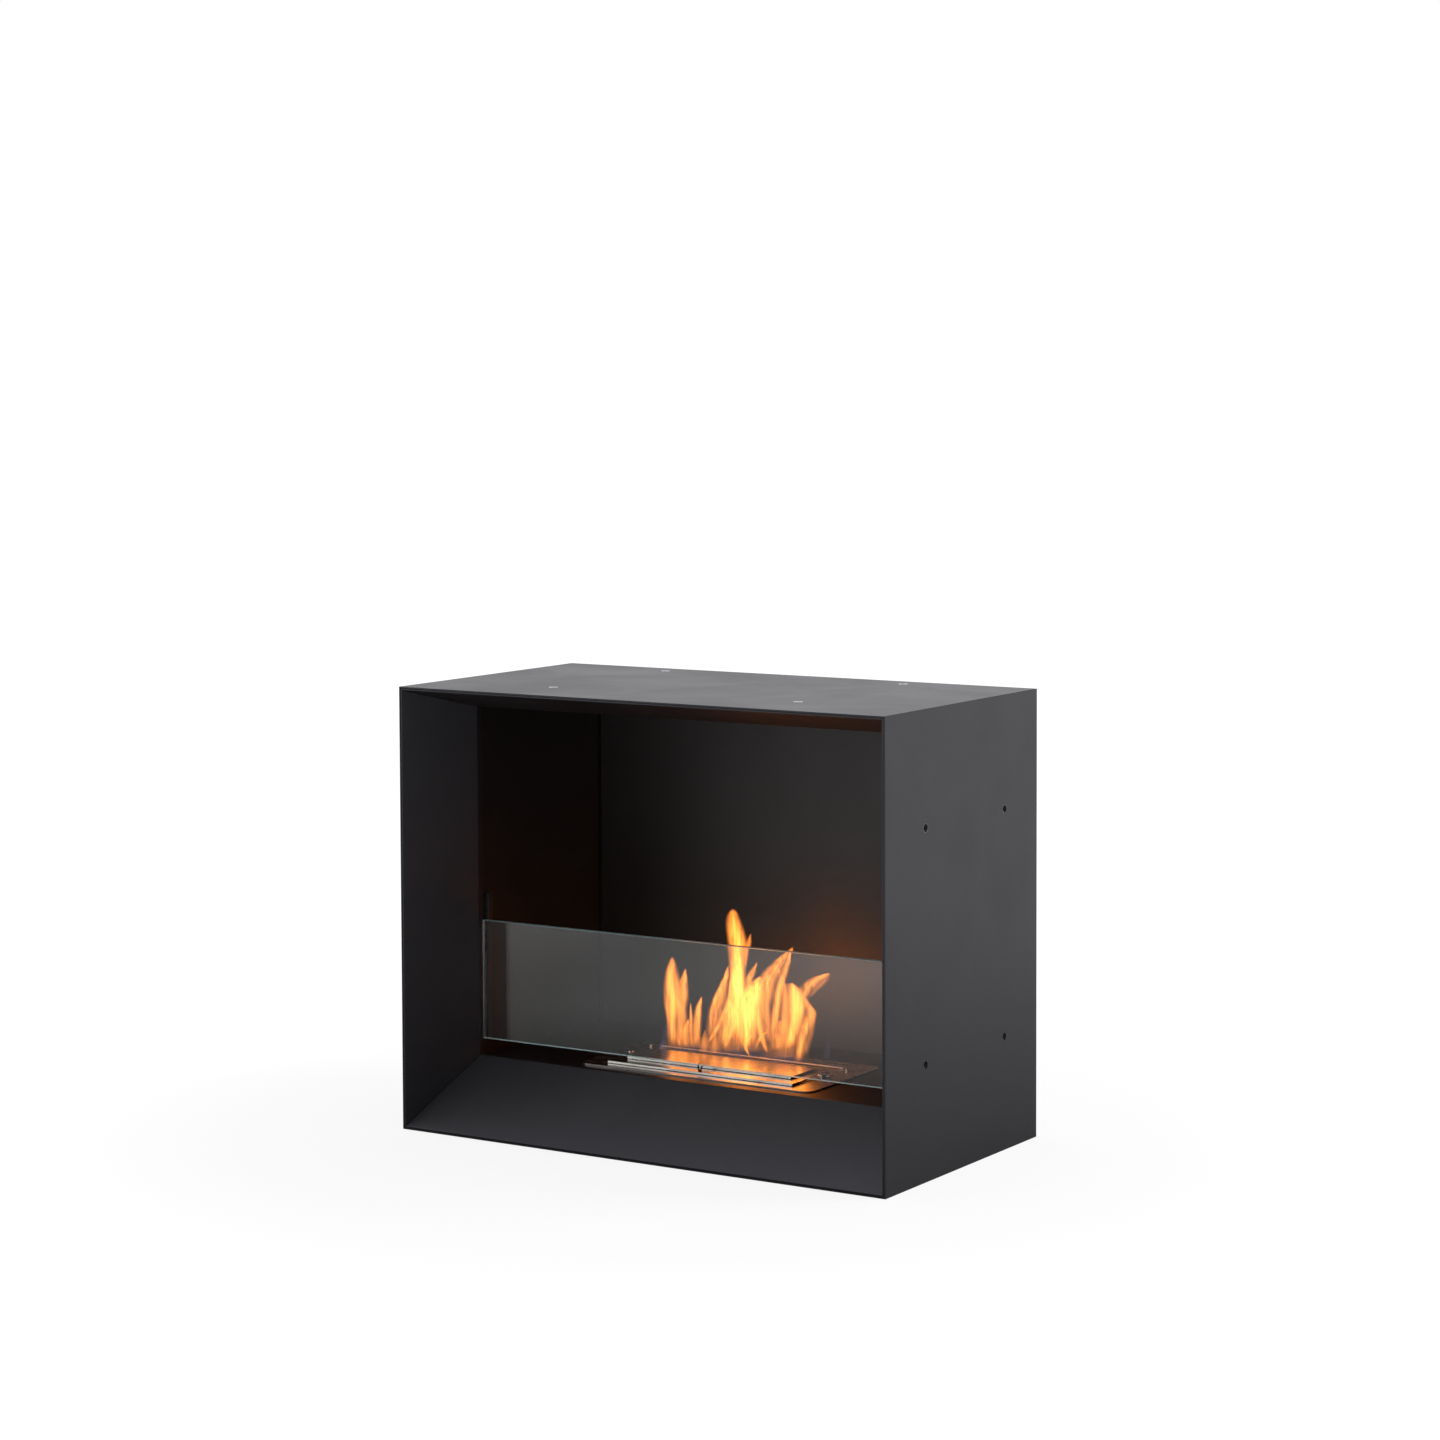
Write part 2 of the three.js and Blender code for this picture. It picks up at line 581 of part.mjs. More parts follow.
function roundedRectangle(length, depth, radius, y) {
  const x = length / 2 - radius;
  const halfDepth = depth / 2 - radius;
  const shape = new THREE.Shape();
  shape.absarc(x, y + halfDepth, radius, 0, Math.PI / 2);
  shape.absarc(-x, y + halfDepth, radius, Math.PI / 2, Math.PI);
  shape.absarc(-x, y - halfDepth, radius, Math.PI, 1.5 * Math.PI);
  shape.absarc(x, y - halfDepth, radius, 1.5 * Math.PI, 2 * Math.PI);
  return shape;
}

const flangeBlank = alongZ(
  roundedRectangle(FLANGE_LENGTH, FLANGE_DEPTH, FLANGE_CORNER, burnerY),
  FLANGE_UNDER,
  FLANGE_TOP,
);
const mouth = block(
  -MOUTH_LENGTH / 2,
  MOUTH_LENGTH / 2,
  FRONT + MOUTH_FRONT,
  FRONT + MOUTH_REAR,
  FLANGE_UNDER - CUT_MARGIN,
  FLANGE_TOP + CUT_MARGIN,
);

// A hole through the flange for a stud or a pin.
function flangeHole(radius, x, y) {
  return bar(radius + GAP, x, y, FLANGE_UNDER - CUT_MARGIN, FLANGE_TOP + CUT_MARGIN);
}

const flangeHoles = [-1, 1].flatMap((side) => [
  flangeHole(STUD_RADIUS, side * STUD_X, FRONT + STUD_Y),
  flangeHole(STOP_PIN_RADIUS, side * STOP_PIN_X, FRONT + STOP_PIN_Y),
]);
add("burner_flange", cut(flangeBlank, [mouth, ...flangeHoles]), stainless());

const tankShell = cut(block(-tank.x, tank.x, tank.front, tank.back, TANK_BOTTOM, TANK_TOP), [
  block(
    -tank.x + STEEL,
    tank.x - STEEL,
    tank.front + STEEL,
    tank.back - STEEL,
    TANK_BOTTOM + STEEL,
    TANK_TOP + CUT_MARGIN,
  ),
]);
add("burner_tank", tankShell, stainless());

const wool = block(
  -MOUTH_LENGTH / 2 + WOOL_CLEARANCE,
  MOUTH_LENGTH / 2 - WOOL_CLEARANCE,
  FRONT + MOUTH_FRONT + WOOL_CLEARANCE,
  FRONT + MOUTH_REAR - WOOL_CLEARANCE,
  TANK_BOTTOM + STEEL + GAP,
  TANK_BOTTOM + STEEL + GAP + WOOL_HEIGHT,
);
add("ceramic_wool", wool, ceramicWool());

const rail = block(
  -MOUTH_LENGTH / 2 - RAIL_OVERHANG,
  MOUTH_LENGTH / 2 + RAIL_OVERHANG,
  FRONT + MOUTH_REAR + GAP,
  FRONT + MOUTH_REAR + GAP + RAIL_DEPTH,
  FLANGE_TOP + GAP,
  FLANGE_TOP + GAP + RAIL_HEIGHT,
);
add("burner_rear_rail", rail, stainless());

for (const [name, side] of [["left", -1], ["right", 1]]) {
  const head = SLIDER_TOP + GAP;
  const stud = turn(
    [
      [0, FLANGE_UNDER],
      [STUD_RADIUS, FLANGE_UNDER],
      [STUD_RADIUS, head],
      [STUD_HEAD_RADIUS, head],
      [STUD_DOME_RADIUS, head + STUD_DOME_HEIGHT],
      [STUD_CROWN_RADIUS, head + STUD_HEAD_HEIGHT],
      [0, head + STUD_HEAD_HEIGHT],
    ],
    ROUND_SEGMENTS,
  ).translate(side * STUD_X, FRONT + STUD_Y, 0);
  add(`slider_guide_stud_${name}`, stud, stainless());
  const pinTop = FLANGE_TOP + STOP_PIN_HEIGHT;
  const pin = bar(STOP_PIN_RADIUS, side * STOP_PIN_X, FRONT + STOP_PIN_Y, FLANGE_UNDER, pinTop);
  add(`slider_stop_pin_${name}`, pin, stainless());
}

// Slider: a plate on two lips with an ear at each end, a raised cover plate and a pull eye.
const half = SLIDER_LENGTH / 2;
const plateOutline = [
  [-half, FRONT + SLIDER_FRONT],
  [half, FRONT + SLIDER_FRONT],
  [half, FRONT + EAR_FRONT],
  [half + EAR_REACH, FRONT + EAR_FRONT],
  [half + EAR_REACH, FRONT + EAR_REAR],
  [half, FRONT + EAR_REAR],
  [half, FRONT + SLIDER_REAR],
  [-half, FRONT + SLIDER_REAR],
  [-half, FRONT + EAR_REAR],
  [-half - EAR_REACH, FRONT + EAR_REAR],
  [-half - EAR_REACH, FRONT + EAR_FRONT],
  [-half, FRONT + EAR_FRONT],
];

// A strip on edge under a plate's front or rear edge.
function lip(halfLength, from, depth, z0, z1) {
  return block(-halfLength, halfLength, FRONT + from, FRONT + from + depth, z0, z1);
}

const sliderPlate = join([
  alongZ(plateOutline, SLIDER_UNDER, SLIDER_TOP),
  lip(half, SLIDER_FRONT, STEEL, FLANGE_TOP + GAP, SLIDER_TOP),
  lip(half, SLIDER_REAR - STEEL, STEEL, FLANGE_TOP + GAP, SLIDER_TOP),
]);
add("slider_plate", sliderPlate, stainless());

const sliderCover = join([
  block(
    -COVER_LENGTH / 2,
    COVER_LENGTH / 2,
    FRONT + COVER_FRONT,
    FRONT + COVER_REAR,
    COVER_UNDER,
    COVER_UNDER + COVER_SHEET,
  ),
  lip(COVER_LENGTH / 2, COVER_FRONT, COVER_SHEET, SLIDER_TOP + GAP, COVER_UNDER + COVER_SHEET),
  lip(COVER_LENGTH / 2, COVER_REAR - COVER_SHEET, COVER_SHEET, SLIDER_TOP + GAP, COVER_UNDER + COVER_SHEET),
]);
add("slider_cover", sliderCover, stainless());

const eyeY = FRONT + SLIDER_FRONT + EYE_FROM_EDGE;
const eyeFoot = SLIDER_TOP + GAP;
const eyeCentre = eyeFoot + EYE_BASE_HEIGHT - EYE_SINK + EYE_WIRE_RADIUS + EYE_RING_RADIUS;
const eyeRing = new THREE.TorusGeometry(
  EYE_RING_RADIUS,
  EYE_WIRE_RADIUS,
  EYE_WIRE_SEGMENTS,
  EYE_RING_SEGMENTS,
)
  .rotateY(Math.PI / 2)
  .translate(0, eyeY, eyeCentre);
const pullEye = join([bar(EYE_BASE_RADIUS, 0, eyeY, eyeFoot, eyeFoot + EYE_BASE_HEIGHT), eyeRing]);
add("slider_pull_eye", pullEye, stainless());

export default root;
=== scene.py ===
import math

import bmesh
import bpy
from mathutils import Matrix, Vector


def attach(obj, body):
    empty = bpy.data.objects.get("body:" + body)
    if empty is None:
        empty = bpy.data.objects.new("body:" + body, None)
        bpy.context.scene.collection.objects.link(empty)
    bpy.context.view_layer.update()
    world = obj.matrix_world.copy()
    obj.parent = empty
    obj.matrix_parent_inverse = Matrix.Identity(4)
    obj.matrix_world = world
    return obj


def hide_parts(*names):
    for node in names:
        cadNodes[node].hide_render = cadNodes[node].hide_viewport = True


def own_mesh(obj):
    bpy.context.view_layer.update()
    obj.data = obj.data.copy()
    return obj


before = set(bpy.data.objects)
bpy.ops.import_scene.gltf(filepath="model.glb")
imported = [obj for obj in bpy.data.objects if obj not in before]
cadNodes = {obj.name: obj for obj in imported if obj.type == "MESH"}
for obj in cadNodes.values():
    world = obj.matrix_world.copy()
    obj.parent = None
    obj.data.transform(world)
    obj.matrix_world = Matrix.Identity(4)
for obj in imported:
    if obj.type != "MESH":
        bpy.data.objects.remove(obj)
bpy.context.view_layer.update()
scene = bpy.context.scene
print("frame loaded,", len(cadNodes), "solids")

mm = 0.001


def startMaterial(name):
    material = bpy.data.materials.new(name)
    material.use_nodes = True
    tree = material.node_tree
    tree.nodes.clear()
    output = tree.nodes.new("ShaderNodeOutputMaterial")
    shader = tree.nodes.new("ShaderNodeBsdfPrincipled")
    tree.links.new(shader.outputs[0], output.inputs["Surface"])
    return material, tree, shader, output


def plug(tree, socket, value):
    # a socket takes another node's output or a plain value
    if isinstance(value, bpy.types.NodeSocket):
        tree.links.new(value, socket)
    else:
        socket.default_value = value


def math2(tree, kind, first, second=0.0, clamp=False):
    node = tree.nodes.new("ShaderNodeMath")
    node.operation = kind
    node.use_clamp = clamp
    plug(tree, node.inputs[0], first)
    plug(tree, node.inputs[1], second)
    return node.outputs[0]


def remap(tree, value, fromLow, fromHigh, toLow=0.0, toHigh=1.0, smooth=True):
    node = tree.nodes.new("ShaderNodeMapRange")
    node.interpolation_type = "SMOOTHSTEP" if smooth else "LINEAR"
    plug(tree, node.inputs["Value"], value)
    for socket, number in zip(("From Min", "From Max", "To Min", "To Max"), (fromLow, fromHigh, toLow, toHigh)):
        node.inputs[socket].default_value = number
    return node.outputs["Result"]


def blendColour(tree, factor, first, second, kind="MIX"):
    node = tree.nodes.new("ShaderNodeMix")
    node.data_type = "RGBA"
    node.blend_type = kind
    plug(tree, node.inputs["Factor"], factor)
    plug(tree, node.inputs[6], first if isinstance(first, bpy.types.NodeSocket) else (*first, 1))
    plug(tree, node.inputs[7], second if isinstance(second, bpy.types.NodeSocket) else (*second, 1))
    return node.outputs[2]


def objectPoint(tree, scale=(1, 1, 1)):
    place = tree.nodes.new("ShaderNodeTexCoord")
    mapping = tree.nodes.new("ShaderNodeMapping")
    mapping.inputs["Scale"].default_value = scale
    tree.links.new(place.outputs["Object"], mapping.inputs["Vector"])
    return mapping.outputs[0]


def noise(tree, point, scale, detail=3.0, roughness=0.5, warp=0.0):
    node = tree.nodes.new("ShaderNodeTexNoise")
    tree.links.new(point, node.inputs["Vector"])
    node.inputs["Scale"].default_value = scale
    node.inputs["Detail"].default_value = detail
    node.inputs["Roughness"].default_value = roughness
    node.inputs["Distortion"].default_value = warp
    return node.outputs["Fac"]


def bump(tree, shader, height, strength, distance):
    node = tree.nodes.new("ShaderNodeBump")
    node.inputs["Strength"].default_value = strength
    node.inputs["Distance"].default_value = distance
    tree.links.new(height, node.inputs["Height"])
    tree.links.new(node.outputs[0], shader.inputs["Normal"])


def mixShaders(tree, factor, first, second, output):
    mixer = tree.nodes.new("ShaderNodeMixShader")
    tree.links.new(factor, mixer.inputs[0])
    tree.links.new(first.outputs[0], mixer.inputs[1])
    tree.links.new(second.outputs[0], mixer.inputs[2])
    tree.links.new(mixer.outputs[0], output.inputs["Surface"])


middle = (0.3, 0.7)  # the part of a noise's range that most of it fills

paintGrain = {
    "cloud": (9, 4, 0.55, 0.4),
    "speck": (420, 2, 0.6),
    "cloudShare": 0.6,
    "speckShare": 0.4,
    "cloudRange": (0.25, 0.75),
    "relief": (0.12, 0.0004),
}
paintLook = {
    "colour": (0.0125, 0.0127, 0.0148),
    "dusty": (0.0185, 0.0188, 0.0215),
    "gloss": (0.40, 0.50),
    "peel": 700,
    "sheen": (0.88, 0.87, 1.0),
    "specular": 0.5,
}
fireboxLook = {
    "colour": (0.0060, 0.0056, 0.0056),
    "dusty": (0.0105, 0.0100, 0.0100),
    "gloss": (0.38, 0.46),
    "peel": 520,
    "sheen": (1.0, 0.95, 0.95),
    "specular": 0.5,
}
# painted shade: a darker, duller, almost unreflective black for the corner folds, where shade falls
foldShadeLook = {  # the folds in the firebox's corners
    "colour": (0.004, 0.004, 0.004),
    "dusty": (0.008, 0.0075, 0.007),
    "gloss": (0.8, 0.95),
    "peel": 400,
    "sheen": (1, 1, 1),
    "specular": 0.08,
}


def makePaint(name, look):
    # matt powder coat: fine orange peel, faint cloudy change of tone
    material, tree, shader, _ = startMaterial(name)
    point = objectPoint(tree)
    cloud = noise(tree, point, *paintGrain["cloud"])
    speck = noise(tree, point, *paintGrain["speck"])
    clouds = math2(tree, "MULTIPLY", remap(tree, cloud, *middle), paintGrain["cloudShare"])
    specks = math2(tree, "MULTIPLY", remap(tree, speck, *middle), paintGrain["speckShare"])
    tone = math2(tree, "ADD", clouds, specks)
    plug(tree, shader.inputs["Base Color"], blendColour(tree, tone, look["colour"], look["dusty"]))
    plug(tree, shader.inputs["Roughness"], remap(tree, cloud, *paintGrain["cloudRange"], *look["gloss"]))
    shader.inputs["Specular Tint"].default_value = (*look["sheen"], 1)
    shader.inputs["Specular IOR Level"].default_value = look["specular"]
    peel = noise(tree, point, look["peel"], 2, 0.55)
    bump(tree, shader, peel, *paintGrain["relief"])
    return material


blackPaint = makePaint("blackPaint", paintLook)
fireboxPaint = makePaint("fireboxPaint", fireboxLook)
foldShadePaint = makePaint("foldShadePaint", foldShadeLook)

steelLook = {
    "bright": (0.66, 0.645, 0.62),
    "dull": (0.50, 0.485, 0.46),
    "heat": (0.62, 0.47, 0.33),
    "heatShare": 0.55,
    "heatReach": (0.012, 0.055),  # from the slot's middle, in metres
    "slotMiddle": 0.047,
    "lines": (14, 900, 900),
    "cloud": (26, 3, 0.5, 0.6),
    "gloss": (0.20, 0.34),
    "relief": (0.10, 0.0002),
}


def makeStainless():
    # satin rolled sheet: fine lines along the burner's length, straw tint towards the slot
    material, tree, shader, _ = startMaterial("satinStainless")
    lines = noise(tree, objectPoint(tree, steelLook["lines"]), 1.0, 4, 0.6)
    cloud = noise(tree, objectPoint(tree), *steelLook["cloud"])
    base = blendColour(tree, remap(tree, cloud, *middle), steelLook["bright"], steelLook["dull"])
    place = tree.nodes.new("ShaderNodeTexCoord")
    parts = tree.nodes.new("ShaderNodeSeparateXYZ")
    tree.links.new(place.outputs["Object"], parts.inputs[0])
    acrossSlot = math2(tree, "ABSOLUTE", math2(tree, "SUBTRACT", parts.outputs[1], steelLook["slotMiddle"]))
    nearSlot = remap(tree, acrossSlot, *steelLook["heatReach"], 1.0, 0.0)
    heat = math2(tree, "MULTIPLY", nearSlot, remap(tree, cloud, 0.2, 0.8, 0.35, 1.0))
    base = blendColour(tree, math2(tree, "MULTIPLY", heat, steelLook["heatShare"]), base, steelLook["heat"])
    plug(tree, shader.inputs["Base Color"], base)
    shader.inputs["Metallic"].default_value = 1.0
    worn = math2(tree, "ADD", math2(tree, "MULTIPLY", lines, 0.7), math2(tree, "MULTIPLY", cloud, 0.3))
    plug(tree, shader.inputs["Roughness"], remap(tree, worn, 0.25, 0.75, *steelLook["gloss"]))
    bump(tree, shader, lines, *steelLook["relief"])
    return material


satinStainless = makeStainless()

# two tones and a range of gloss on one noise; relief is the bump's strength and depth in metres
smallFinishes = {
    "railPaintedBright": {  # the rail beside the flames: near-white and half metallic, a painted highlight for their light, which it scatters
        "stretch": (30, 900, 900), "cloud": (1.0, 3, 0.6), "tones": ((0.95, 0.90, 0.86), (0.80, 0.72, 0.66)),
        "metallic": 0.45, "gloss": (0.24, 0.38), "relief": (0.08, 0.0002)},
    "zincSteel": {
        "cloud": (120, 3), "tones": ((0.62, 0.63, 0.65), (0.44, 0.45, 0.47)), "flakes": 260, "flakeShare": 0.25,
        "metallic": 1.0, "gloss": (0.28, 0.45), "relief": (0.15, 0.0002)},
    # painted highlight: zinc made near white, for the top nuts' glints
    "zincPaintedLit": {
        "cloud": (200, 3), "tones": ((0.92, 0.93, 0.95), (0.76, 0.77, 0.79)),
        "metallic": 0.35, "gloss": (0.35, 0.5), "relief": (0.12, 0.0002)},
    # painted shade: zinc made near black, for the side nuts' shaded bores
    "zincPaintedShade": {
        "cloud": (180, 3), "tones": ((0.10, 0.10, 0.11), (0.20, 0.20, 0.21)),
        "metallic": 1.0, "gloss": (0.30, 0.42), "relief": (0.1, 0.0002)},
    "blackOxide": {
        "cloud": (160, 4, 0.6), "grain": (900, 2), "tones": ((0.014, 0.014, 0.015), (0.032, 0.031, 0.030)),
        "metallic": 0.0, "gloss": (0.30, 0.46), "relief": (0.10, 0.0002)},
    "nearBlackSteel": {  # wire of the pull ring: near-black steel
        "cloud": (420, 3, 0.6), "tones": ((0.010, 0.009, 0.009), (0.035, 0.030, 0.028)),
        "metallic": 1.0, "gloss": (0.22, 0.36), "relief": (0.08, 0.0001)},
}


def makeSmallFinish(name):
    look = smallFinishes[name]
    material, tree, shader, _ = startMaterial(name)
    cloud = noise(tree, objectPoint(tree, look.get("stretch", (1, 1, 1))), *look["cloud"])
    base = blendColour(tree, remap(tree, cloud, *middle), *look["tones"])
    if "flakes" in look:
        flakes = tree.nodes.new("ShaderNodeTexVoronoi")
        flakes.inputs["Scale"].default_value = look["flakes"]
        tree.links.new(objectPoint(tree), flakes.inputs["Vector"])
        base = blendColour(tree, look["flakeShare"], base, flakes.outputs["Color"], "OVERLAY")
    plug(tree, shader.inputs["Base Color"], base)
    shader.inputs["Metallic"].default_value = look["metallic"]
    plug(tree, shader.inputs["Roughness"], remap(tree, cloud, *middle, *look["gloss"]))
    height = noise(tree, objectPoint(tree), *look["grain"]) if "grain" in look else cloud
    bump(tree, shader, height, *look["relief"])
    return material


railPaintedBright = makeSmallFinish("railPaintedBright")
zincSteel = makeSmallFinish("zincSteel")
zincPaintedLit = makeSmallFinish("zincPaintedLit")
blackOxide = makeSmallFinish("blackOxide")
zincPaintedShade = makeSmallFinish("zincPaintedShade")
nearBlackSteel = makeSmallFinish("nearBlackSteel")

woolLook = {
    "shade": (0.58, 0.55, 0.50),
    "light": (0.80, 0.78, 0.74),
    "scorched": (0.22, 0.18, 0.15),
    "fibres": (900, 260, 900),
    "cloud": (45, 4, 0.6, 0.5),
    "gloss": (0.85, 1.0),
    "relief": (0.7, 0.0008),
}


def makeWool():
    # pressed fibre block, scorched in places
    material, tree, shader, _ = startMaterial("ceramicFibre")
    fibres = noise(tree, objectPoint(tree, woolLook["fibres"]), 1.0, 5, 0.7, 1.2)
    cloud = noise(tree, objectPoint(tree), *woolLook["cloud"])
    base = blendColour(tree, remap(tree, fibres, *middle), woolLook["shade"], woolLook["light"])
    scorch = remap(tree, cloud, 0.5, 0.8, 0.0, 0.6)
    plug(tree, shader.inputs["Base Color"], blendColour(tree, scorch, base, woolLook["scorched"]))
    plug(tree, shader.inputs["Roughness"], remap(tree, fibres, 0.2, 0.8, *woolLook["gloss"]))
    bump(tree, shader, fibres, *woolLook["relief"])
    return material


ceramicFibre = makeWool()

glassLook = {
    "tint": (0.95, 0.98, 0.975),
    "hazy": (0.90, 0.93, 0.92),
    "through": (0.9, 0.93, 0.92),  # what it leaves of a lamp's light
    "haze": (30, 4, 0.6, 1.0),
    "ior": 1.5,
}


def makeGlass():
    # clear guard glass with a faint uneven haze, and lamps shine through it
    material, tree, shader, output = startMaterial("guardGlass")
    shader.inputs["Transmission Weight"].default_value = 1.0
    shader.inputs["IOR"].default_value = glassLook["ior"]
    haze = remap(tree, noise(tree, objectPoint(tree, (1, 1, 0.4)), *glassLook["haze"]), 0.4, 0.8)
    plug(tree, shader.inputs["Base Color"], blendColour(tree, haze, glassLook["tint"], glassLook["hazy"]))
    shader.inputs["Roughness"].default_value = 0.0
    clear = tree.nodes.new("ShaderNodeBsdfTransparent")
    clear.inputs["Color"].default_value = (*glassLook["through"], 1)
    ray = tree.nodes.new("ShaderNodeLightPath")
    mixShaders(tree, ray.outputs["Is Shadow Ray"], shader, clear, output)
    return material


guardGlass = makeGlass()

edgeLook = {
    "green": (0.55, 0.88, 0.92),
    "pale": (0.75, 0.97, 1.0),
    "grain": (1400, 2, 0.6),
    "gloss": (0.25, 0.45),
    "clear": 0.35,
}


def makeGroundEdge():
    # the panel's ground and polished edges scatter a pale green-blue
    material, tree, shader, _ = startMaterial("groundGlassEdge")
    grain = noise(tree, objectPoint(tree), *edgeLook["grain"])
    tone = remap(tree, grain, *middle)
    plug(tree, shader.inputs["Base Color"], blendColour(tree, tone, edgeLook["green"], edgeLook["pale"]))
    plug(tree, shader.inputs["Roughness"], remap(tree, grain, *middle, *edgeLook["gloss"]))
    shader.inputs["Transmission Weight"].default_value = edgeLook["clear"]
    shader.inputs["IOR"].default_value = glassLook["ior"]
    return material


groundEdge = makeGroundEdge()

flameLook = {
    "colour": (1.0, 0.275, 0.040),
    "leastStrength": 2.2,
    "cover": 0.55,
    "softFrom": 0.05,
    "thrownLight": 1.7,
    "streaks": (0.50, 1.20),
}
blueLook = {
    "colour": (0.30, 0.20, 0.36),
    "leastStrength": 0.40,
    "cover": 0.30,
    "softFrom": 0.10,
    "thrownLight": 1.7,
    "streaks": (0.4, 1.0),
}
flameFade = {"foot": 0.16, "tip": 0.90, "wisps": (190, 190, 20), "wispRange": (0.30, 0.66)}


def makeFlame(name, look):
    # light only: U runs across a tongue, V from its foot to its tip, and layers add up towards yellow
    material, tree, shader, _ = startMaterial(name)
    chart = tree.nodes.new("ShaderNodeUVMap")
    chart.uv_map = "flameChart"
    parts = tree.nodes.new("ShaderNodeSeparateXYZ")
    tree.links.new(chart.outputs[0], parts.inputs[0])
    glow = tree.nodes.new("ShaderNodeAttribute")
    glow.attribute_name = "glow"
    bias = tree.nodes.new("ShaderNodeAttribute")
    bias.attribute_name = "brightSide"
    side = math2(tree, "SUBTRACT", math2(tree, "MULTIPLY", parts.outputs[0], 2), 1)
    edge = remap(tree, math2(tree, "ABSOLUTE", side), 1.0, look["softFrom"], 0.0, 1.0)
    leaning = math2(tree, "ADD", math2(tree, "MULTIPLY", side, bias.outputs["Fac"]), 1)
    foot = remap(tree, parts.outputs[1], 0.0, flameFade["foot"], 0.0, 1.0)
    tip = remap(tree, parts.outputs[1], 1.0, flameFade["tip"], 0.0, 1.0)
    wisps = noise(tree, objectPoint(tree, flameFade["wisps"]), 1.0, 3, 0.5, 0.8)
    streaks = remap(tree, wisps, *flameFade["wispRange"], *look["streaks"])
    level = math2(tree, "MULTIPLY", glow.outputs["Fac"], math2(tree, "MULTIPLY", leaning, streaks))
    shape = math2(tree, "MULTIPLY", edge, math2(tree, "MULTIPLY", foot, tip))
    # a layer is never more solid than its cover, so a brighter one shines more instead
    strongest = math2(tree, "MULTIPLY", level, 1 / look["cover"])
    strength = math2(tree, "MAXIMUM", strongest, look["leastStrength"])
    share = math2(tree, "MINIMUM", look["cover"], math2(tree, "MULTIPLY", level, 1 / look["leastStrength"]))
    # the light it throws on the firebox is stronger than what the eye sees
    rays = tree.nodes.new("ShaderNodeLightPath")
    seen = math2(tree, "MAXIMUM", rays.outputs["Is Camera Ray"], rays.outputs["Is Transmission Ray"])
    thrown = remap(tree, seen, 0.0, 1.0, look["thrownLight"], 1.0)
    shader.inputs["Emission Color"].default_value = (*look["colour"], 1)
    plug(tree, shader.inputs["Emission Strength"], math2(tree, "MULTIPLY", strength, thrown))
    plug(tree, shader.inputs["Alpha"], math2(tree, "MULTIPLY", shape, share, True))
    shader.inputs["Base Color"].default_value = (0, 0, 0, 1)
    shader.inputs["Specular IOR Level"].default_value = 0.0
    shader.inputs["Roughness"].default_value = 1.0
    return material


flameLight = makeFlame("flameLight", flameLook)
blueLight = makeFlame("blueFlameLight", blueLook)
print("finishes made")


def makeObject(name, form, material, smooth=True):
    mesh = bpy.data.meshes.new(name)
    form.to_mesh(mesh)
    form.free()
    mesh.materials.append(material)
    if smooth:
        mesh.shade_smooth()
    piece = bpy.data.objects.new(name, mesh)
    scene.collection.objects.link(piece)
    return piece


def dress(nodeName, pieceName, body, slotName, material, edge, segments=2, angle=30):
    # the solid's own shape, with its loose triangles joined and every sharp edge broken
    form = bmesh.new()
    form.from_mesh(cadNodes[nodeName].data)
    bmesh.ops.remove_doubles(form, verts=form.verts, dist=2e-6)
    bmesh.ops.dissolve_limit(form, angle_limit=math.radians(0.4), verts=form.verts, edges=form.edges)
    broken = form.edges.layers.float.new("bevel_weight_edge")
    for line in form.edges:
        line[broken] = 1.0 if line.is_convex and line.calc_face_angle(0) > math.radians(angle) else 0.0
    piece = makeObject(pieceName, form, material)
    piece.data.set_sharp_from_angle(angle=math.radians(angle))
    breaker = piece.modifiers.new("brokenEdges", "BEVEL")
    breaker.width = edge * mm
    breaker.segments = segments
    breaker.limit_method = "WEIGHT"
    breaker.use_clamp_overlap = True
    evener = piece.modifiers.new("evenShading", "WEIGHTED_NORMAL")
    evener.keep_sharp = True
    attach(piece, body)
    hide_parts(nodeName)
    return piece


